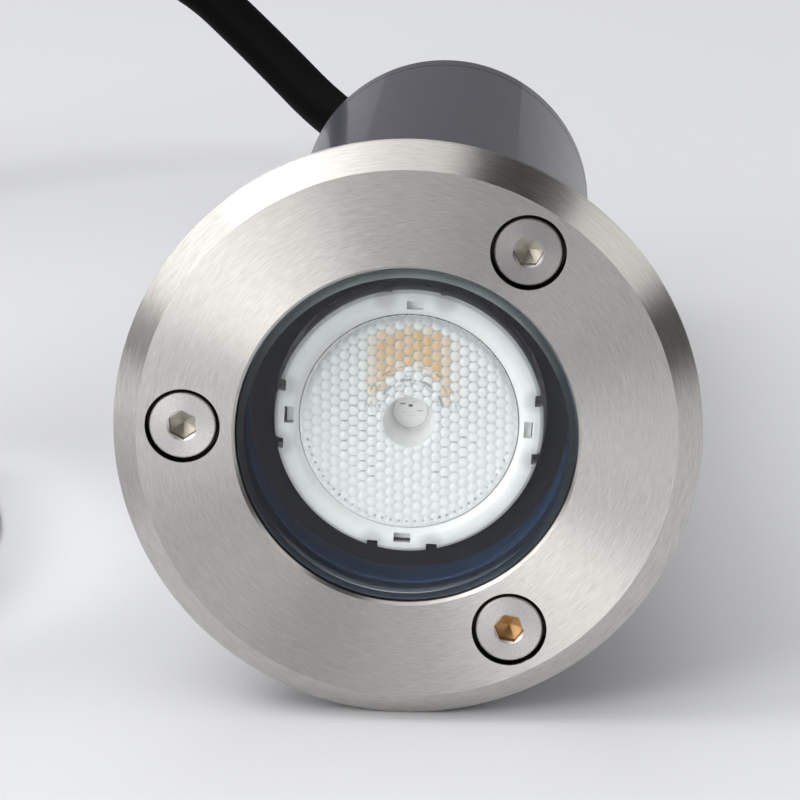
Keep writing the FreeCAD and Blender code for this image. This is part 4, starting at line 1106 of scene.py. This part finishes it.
OPTIC_TURN = math.radians(-3.0)  # the holder stands a little askew in its chamber
HOLDER_ARMS = 4
ARM_HALF = 4.6 * MM  # from an arm's middle to the middle of a slot
UPPER_ARM = 1
SLOT_WIDE = 1.7 * MM
SLOT_DEEP = 12 * MM
SLOT_REACH = 19.2 * MM
UPPER_SLOT_REACH = 20.2 * MM
WINDOW_HALF = 1.3 * MM
WINDOW_DEEP = 1.6 * MM
HOLDER_FOOT, HOLDER_TOP = heights("lens_holder")
HOLDER_OUTER = 20.75 * MM
HOLDER_LIP = 17.0 * MM  # radius of the hole over the lens
HOLDER_POCKET = 19.05 * MM  # radius of the pocket for the lens's flange
SHADED_SIDE = -10 * MM  # windows beyond this, to the left or below, get painted shade on their floor


def note_painted_window_shade(holder):
    """Notes on the mesh which window floors get painted shade."""
    painted_window_shade = holder.data.attributes.new("painted_window_shade", "FLOAT", "POINT")
    for index, vertex in enumerate(holder.data.vertices):
        x, y, z = vertex.co
        window = HOLDER_LIP + 0.6 * MM < math.hypot(x, y) < HOLDER_LIP + 2.6 * MM
        deep = abs(z - HOLDER_TOP + WINDOW_DEEP) < 0.3 * MM
        painted_window_shade.data[index].value = float(window and deep and min(x, y) < SHADED_SIDE)


class WELL_OT_holder(bpy.types.Operator):
    """Turns the white lens holder and cuts its snap arms and windows"""
    bl_idname = "well.holder"
    bl_label = "Lens holder"

    def execute(self, context):
        high, outer, lip, pocket = HOLDER_TOP, HOLDER_OUTER, HOLDER_LIP, HOLDER_POCKET
        holder = turned("snap_holder", [
            (pocket + 0.3 * MM, HOLDER_FOOT),
            (outer - 0.9 * MM, HOLDER_FOOT),
            (outer - 0.9 * MM, high - 4.2 * MM),
            (outer, high - 3.8 * MM),
            (outer, high - 0.9 * MM),
            (outer - 0.5 * MM, high - 0.3 * MM),
            (outer - 1.4 * MM, high),
            (lip + 1.25 * MM, high),
            (lip + 0.75 * MM, high - 0.22 * MM),
            (lip, high - 0.75 * MM),
            (lip, high - 1.6 * MM),
            (pocket, high - 1.6 * MM),
            (pocket, high - 3.5 * MM),
            (pocket - 0.8 * MM, high - 3.5 * MM),
            (pocket - 0.8 * MM, high - 4.3 * MM),
            (pocket + 0.3 * MM, high - 5.4 * MM),
        ], context.scene.well_sizes.round_steps)
        above = high + OVERSHOOT
        for arm in range(HOLDER_ARMS):
            reach = UPPER_SLOT_REACH if arm == UPPER_ARM else SLOT_REACH
            turn = OPTIC_TURN + arm * 2 * math.pi / HOLDER_ARMS
            for middle in (ARM_HALF, -ARM_HALF):
                slot = brick("slot", (reach, middle - SLOT_WIDE / 2, high - SLOT_DEEP),
                             (outer + OVERSHOOT, middle + SLOT_WIDE / 2, above), turn)
                cut(holder, slot)
            window = brick("window", (lip + 0.75 * MM, -WINDOW_HALF, high - WINDOW_DEEP),
                           (lip + 2.2 * MM, WINDOW_HALF, above), turn)
            cut(holder, window)
        soften(holder, 0.12 * MM)
        note_painted_window_shade(holder)
        lay_down(holder)
        white = holder_white("holder_white", context.scene.well_colours.holder)
        finish_piece(holder, "lamp", "holder_white", white, "lens_holder")
        return {"FINISHED"}


# ---- lens with its honeycomb face -----------------------------------------------------------

LENS_FOOT, LENS_TOP = heights("tir_lens")
LENS_FLANGE = widest("tir_lens")
LENS_RIM = 16.85 * MM
LENS_CONE = 12.7 * MM  # height of the cone under the flange
FLANGE_THICK = 1.9 * MM
CONE_RADII = (6.9, 9.6, 12.6, 15.4)  # in millimetres, at each quarter of the cone's height
WELL_MOUTH = 4.0 * MM
WELL_FLOOR = 3.3 * MM
WELL_DEEP = 6.8 * MM
RING_STEP = 0.14 * MM  # spacing of the rings that carry the honeycomb
LENS_STEPS = 480
DOME_RISE = 0.17 * MM
LENSLET_CORNER = 0.577  # from a lenslet's middle to its corner, in pitches
CHIP_SPOT = (0.3 * MM, 1.8 * MM)  # where the chip's image lies behind the face
# Broken dark arcs round the well: radius and width in millimetres, dashes, and depth.
WELL_ARCS = (
    (7.0, 0.26, 15, 0.5),
    (6.2, 0.26, 13, 0.45),
    (4.9, 0.46, 9, 0.72),
    (4.3, 0.3, 11, 0.45),
)
# Marks on the floor of the well: place and half sizes in millimetres, and depth.
CHIP_MARKS = (
    (0.0, 0.9, 0.36, 0.22, 1.0),
    (-1.2, 1.15, 0.48, 0.11, 0.9),
    (1.5, 0.05, 0.5, 0.1, 0.55),
    (-0.9, -0.2, 0.7, 0.07, 0.25),
    (0.2, -0.75, 0.9, 0.07, 0.2),
    (0.6, 1.5, 0.5, 0.07, 0.3),
)
DOT_SPACING = 4.6  # degrees between the dots on the lower rim
DOT_CIRCLE = 15.9  # their circle's radius in millimetres


def smooth_step(low, high, value):
    share = min(max((value - low) / (high - low), 0.0), 1.0)
    return share * share * (3 - 2 * share)


def polar(x, y):
    """Distance from the lens's middle in millimetres, and angle from 0 to 360 degrees."""
    return math.hypot(x, y) / MM, math.degrees(math.atan2(y, x)) % 360


def nearest_lenslet(x, y, column, pitch):
    """Distance to the nearest lenslet's middle, and its place.

    The lenslets stand in columns, each second one half a pitch up.
    """
    best = None
    for line in (math.floor(x / column), math.floor(x / column) + 1):
        shift = pitch / 2 if line % 2 else 0.0
        spot = (line * column, round((y - shift) / pitch) * pitch + shift)
        reach = math.hypot(x - spot[0], y - spot[1])
        if best is None or reach < best[0]:
            best = (reach, spot)
    return best


def flicker(*numbers):
    """A repeatable number from 0 to 1 for a place on the lens."""
    total = sum(number * share for number, share in zip(numbers, (12.9898, 78.233)))
    return (math.sin(total) * 43758.5453) % 1.0


def amber_share(spot):
    """How much of the yellow chip a lenslet shows, from its place on the face."""
    x = (spot[0] - CHIP_SPOT[0]) / MM
    y = spot[1] / MM
    top = 14.7 - 0.045 * x * x
    sides = smooth_step(7.3, 6.2, abs(x))
    above = smooth_step(top + 0.7, top - 0.7, y)
    reach = math.hypot(x / 5.2, (y - CHIP_SPOT[1] / MM) / 7.4)
    inner = smooth_step(0.90, 1.08, reach) * smooth_step(2.0, 4.2, y)
    core = 0.22 + 0.70 * smooth_step(7.2, 4.0, abs(x))
    return sides * above * inner * core * (0.75 + 0.25 * flicker(*spot))


def arc_shade(x, y):
    """Broken dark arcs round the upper half of the well."""
    across = (x - CHIP_SPOT[0]) / MM
    up = (y - CHIP_SPOT[1]) / MM
    reach = math.hypot(across, up)
    angle = math.atan2(up, across)
    shade = 0.0
    for radius, width, dashes, depth in WELL_ARCS:
        broken = smooth_step(-0.5, 0.3, math.sin(angle * dashes + radius))
        shade = max(shade, depth * broken * smooth_step(width, 0.0, abs(reach - radius)))
    return shade * smooth_step(-0.6, 1.2, up)


def floor_marks(x, y):
    """Marks of the chip's image on the floor of the well."""
    across, up = x / MM, y / MM
    shade = 0.35 * smooth_step(0.22, 0.0, abs(math.hypot(across, up) - 2.75))
    for spot_x, spot_y, half_x, half_y, depth in CHIP_MARKS:
        away = math.hypot((across - spot_x) / half_x, (up - spot_y) / half_y)
        shade = max(shade, depth * smooth_step(1.2, 0.8, away))
    return shade


def rim_shade(x, y):
    """Painted shade: soft grey of the gap round the lens, as it shows through the upper rim of its
    face.
    """
    reach = polar(x, y)[0]
    return 0.42 * smooth_step(15.0, 16.5, reach) * smooth_step(-3.0, 9.0, y / MM)


def cell_dash(spot, x, y):
    """A short painted dark glint under a lenslet, in two stretches beside the well."""
    reach, angle = polar(*spot)
    left = smooth_step(4.5, 6.0, reach) * smooth_step(12.5, 10.0, reach) * (150 < angle < 235)
    right = smooth_step(5.5, 7.0, reach) * smooth_step(12.0, 10.0, reach) * (300 < angle < 352)
    across = (x - spot[0]) / MM
    down = (spot[1] - y) / MM
    dash = smooth_step(0.45, 0.3, abs(across)) * smooth_step(0.17, 0.08, abs(down - 0.72))
    return dash * max(left, right) * (0.25 + 0.55 * flicker(*spot))


def rim_dots(x, y):
    """Small dark dots along the lower rim of the face."""
    reach, angle = polar(x, y)
    if not 190 < angle < 345:
        return 0.0
    turn = angle / DOT_SPACING
    around = abs(turn % 1.0 - 0.5) * DOT_SPACING
    size = math.hypot((reach - DOT_CIRCLE) / 0.26, around / 1.1)
    return 0.8 * smooth_step(1.0, 0.5, size) * (0.4 + 0.6 * flicker(round(turn), 1.0))


def face_marks(x, y, spot, away, share):
    """How yellow and how dark a point of the honeycomb is; the dark is painted shade."""
    border = smooth_step(0.62, 1.0, share)
    # Painted shade: the outlines are darker in the upper half, near the middle, and on each
    # lenslet's lower side.
    upper = smooth_step(-7 * MM, 5 * MM, y)
    middle = smooth_step(16 * MM, 9 * MM, abs(x - 1 * MM))
    under = 0.5 - 0.5 * (y - spot[1]) / max(away, 1e-6)
    outline = border * (0.17 + 0.11 * upper + 0.42 * upper * middle * under)
    yellow = amber_share(spot) * (1 - 0.55 * border)
    return yellow, max(outline, arc_shade(x, y), rim_dots(x, y), rim_shade(x, y),
                       cell_dash(spot, x, y))


def dress_lens(lens, sizes):
    """Raises the honeycomb on the face and notes where the lens is yellow, where it gets painted
    shade and where its well gets painted light.
    """
    pitch = sizes.lenslet
    column = pitch * sizes.lenslet_columns
    masks = ("glow", "shade", "well")
    for name in masks:
        lens.data.attributes.new(name, "FLOAT", "POINT")
    glow, shade, well = (lens.data.attributes[name].data for name in masks)
    floor = LENS_TOP - WELL_DEEP
    for index, vertex in enumerate(lens.data.vertices):
        x, y, z = vertex.co
        reach = math.hypot(x, y)
        if abs(z - LENS_TOP) < 1e-5 and WELL_MOUTH < reach < LENS_RIM:
            away, spot = nearest_lenslet(x, y, column, pitch)
            share = away / (pitch * LENSLET_CORNER)
            fade = smooth_step(WELL_MOUTH, WELL_MOUTH + 0.5 * MM, reach)
            fade *= smooth_step(LENS_RIM, LENS_RIM - 0.4 * MM, reach)
            vertex.co.z += DOME_RISE * fade * (1 - share * share)
            glow[index].value, shade[index].value = face_marks(x, y, spot, away, share)
        elif floor - 0.1 * MM < z < floor + 0.01 * MM and reach < WELL_FLOOR + 0.1 * MM:
            glow[index].value = 0.06
            shade[index].value = floor_marks(x, y)
        # Painted light: the points inside the well are noted for their near white colour.
        well[index].value = float(z < LENS_TOP - 0.1 * MM and reach < WELL_MOUTH)


class WELL_OT_lens(bpy.types.Operator):
    """Turns the clear lens and raises the honeycomb on its face"""
    bl_idname = "well.lens"
    bl_label = "Lens"

    def execute(self, context):
        under = LENS_FOOT + LENS_CONE
        over = under + FLANGE_THICK
        profile = [
            (0.2 * MM, LENS_FOOT + 5.2 * MM),
            (4.6 * MM, LENS_FOOT + 4.6 * MM),
            (5.5 * MM, LENS_FOOT),
        ]
        profile += [(radius * MM, LENS_FOOT + LENS_CONE * quarter / 4)
                    for quarter, radius in enumerate(CONE_RADII)]
        profile += [
            (LENS_FLANGE - 1.4 * MM, under),
            (LENS_FLANGE, under),
            (LENS_FLANGE, over),
            (LENS_RIM, over),
        ]
        face = LENS_RIM - WELL_MOUTH
        rings = round(face / RING_STEP)
        profile += [(LENS_RIM - face * ring / rings, LENS_TOP) for ring in range(rings + 1)]
        profile.append((WELL_MOUTH - 0.15 * MM, LENS_TOP - 0.25 * MM))
        profile.append((WELL_FLOOR, LENS_TOP - WELL_DEEP + 0.5 * MM))
        floor_rings = round(WELL_FLOOR / RING_STEP) - 2
        profile += [(WELL_FLOOR - 0.2 * MM - RING_STEP * ring, LENS_TOP - WELL_DEEP)
                    for ring in range(floor_rings)]
        lens = turned("honeycomb_lens", profile, LENS_STEPS, loop=False)
        dress_lens(lens, context.scene.well_sizes)
        lay_down(lens)
        colours = context.scene.well_colours
        finish_piece(lens, "lamp", "lens_clear", lens_finish("lens_clear", colours), "tir_lens")
        return {"FINISHED"}


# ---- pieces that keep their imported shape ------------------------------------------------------

def wear(material, *names):
    """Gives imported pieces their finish."""
    for name in names:
        piece = frame["nodes"][name]
        for slot in piece.material_slots:
            slot.material = material
        if not piece.material_slots:
            piece.data.materials.append(material)


def wear_moulded(*finishes):
    """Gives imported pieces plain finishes: name, colour, roughness, and the pieces."""
    for name, base, rough, *pieces in finishes:
        wear(moulded(name, base, rough=rough), *pieces)


class WELL_OT_body(bpy.types.Operator):
    """Finishes the housing, the tube, the cap, the seals and the gland"""
    bl_idname = "well.body"
    bl_label = "Body and gland"

    def execute(self, context):
        colours = context.scene.well_colours
        wear(moulded("body_paint", colours.paint, rough=0.34, grain=1800.0, spread=0.16,
                     coat=0.15), "front_housing", "body_tube", "rear_cap")
        wear(moulded("seal_rubber", colours.seal, rough=0.6, grain=2200.0, spread=0.2),
             "screw_seals", "bezel_gasket", "body_gasket", "rear_gasket", "gland_ring",
             "gland_seal")
        wear_moulded(("silicone", (0.72, 0.72, 0.69), 0.5, "glass_gasket"),
                     ("tie_nylon", (0.02, 0.02, 0.021), 0.45, "coil_tie"))
        wear(turned_metal("nickel_brass", (0.62, 0.60, 0.55), rough=0.3, anisotropy=0.4,
                          lines=4000.0), "gland_body", "gland_locknut", "gland_nut")
        wear(plain_metal("tinned_brass", (0.70, 0.68, 0.60)), "earth_tag")
        wear(plain_metal("screw_steel", (0.60, 0.59, 0.57)), "board_screws", "body_screws",
             "terminal_screws", "rear_cap_screws")
        return {"FINISHED"}


class WELL_OT_light_engine(bpy.types.Operator):
    """Finishes the chip, its board and the aluminium behind it"""
    bl_idname = "well.light_engine"
    bl_label = "Light engine"

    def execute(self, context):
        wear_moulded(("board_white", (0.78, 0.79, 0.78), 0.35, "led_board"),
                     ("chip_ceramic", (0.82, 0.82, 0.79), 0.5, "led_package"),
                     ("pad_grey", (0.30, 0.31, 0.33), 0.7, "thermal_pad"),
                     ("wire_red", (0.55, 0.02, 0.015), 0.4, "led_wire_red"),
                     ("wire_black", (0.02, 0.02, 0.02), 0.4, "led_wire_black"))
        wear(moulded("phosphor", context.scene.well_colours.phosphor, rough=0.45,
                     grain=5000.0), "led_phosphor")
        wear(turned_metal("bare_aluminium", (0.76, 0.76, 0.77), rough=0.36, anisotropy=0.6,
                          lines=5000.0), "led_carrier")
        return {"FINISHED"}


class WELL_OT_driver(bpy.types.Operator):
    """Finishes the driver, its brackets and the cores inside the tube"""
    bl_idname = "well.driver"
    bl_label = "Driver"

    def execute(self, context):
        wear_moulded(("board_green", (0.02, 0.16, 0.06), 0.3, "driver_board"),
                     ("black_plastic", (0.022, 0.022, 0.024), 0.5, "driver_bracket_front",
                      "driver_bracket_rear"),
                     ("ferrite", (0.05, 0.05, 0.055), 0.55, "transformer_core", "choke"),
                     ("winding_tape", (0.70, 0.52, 0.10), 0.3, "transformer_coil"),
                     ("capacitor_yellow", (0.75, 0.50, 0.06), 0.35, "input_capacitor"),
                     ("capacitor_black", (0.03, 0.032, 0.05), 0.3, "smoothing_capacitor"),
                     ("terminal_grey", (0.32, 0.33, 0.34), 0.5, "terminal_block"),
                     ("core_brown", (0.16, 0.06, 0.025), 0.4, "core_brown_inner",
                      "core_brown"),
                     ("core_blue", (0.02, 0.11, 0.42), 0.4, "core_blue_inner", "core_blue"))
        wear(striped("core_green_yellow", (0.04, 0.30, 0.06), (0.75, 0.62, 0.04)),
             "core_earth_inner", "core_earth")
        wear(plain_metal("copper", (0.78, 0.40, 0.24)), "core_tips")
        return {"FINISHED"}


# ---- panel and registration -----------------------------------------------------------------

class WELL_PT_sidebar(bpy.types.Panel):
    """Lists the steps that build the well light"""
    bl_idname = "WELL_PT_sidebar"
    bl_label = "Well Light"
    bl_space_type = "VIEW_3D"
    bl_region_type = "UI"
    bl_category = "Well Light"

    def draw(self, context):
        for settings in (context.scene.well_sizes, context.scene.well_colours):
            for name in settings.__annotations__:
                self.layout.prop(settings, name)
        for step in STEPS:
            self.layout.operator(step.bl_idname)


STEPS = (
    WELL_OT_stage,
    WELL_OT_lead,
    WELL_OT_bezel,
    WELL_OT_screws,
    WELL_OT_glass,
    WELL_OT_baffle,
    WELL_OT_holder,
    WELL_OT_lens,
    WELL_OT_body,
    WELL_OT_light_engine,
    WELL_OT_driver,
)
CLASSES = (WellLightSizes, WellLightColours, *STEPS, WELL_PT_sidebar)


def register():
    for each in CLASSES:
        bpy.utils.register_class(each)
    bpy.types.Scene.well_sizes = PointerProperty(type=WellLightSizes)
    bpy.types.Scene.well_colours = PointerProperty(type=WellLightColours)


def unregister():
    del bpy.types.Scene.well_colours
    del bpy.types.Scene.well_sizes
    for each in reversed(CLASSES):
        bpy.utils.unregister_class(each)


def main():
    register()
    for step in STEPS:
        group, name = step.bl_idname.split(".")
        getattr(getattr(bpy.ops, group), name)()
    bpy.context.view_layer.update()


if __name__ == "__main__":
    main()
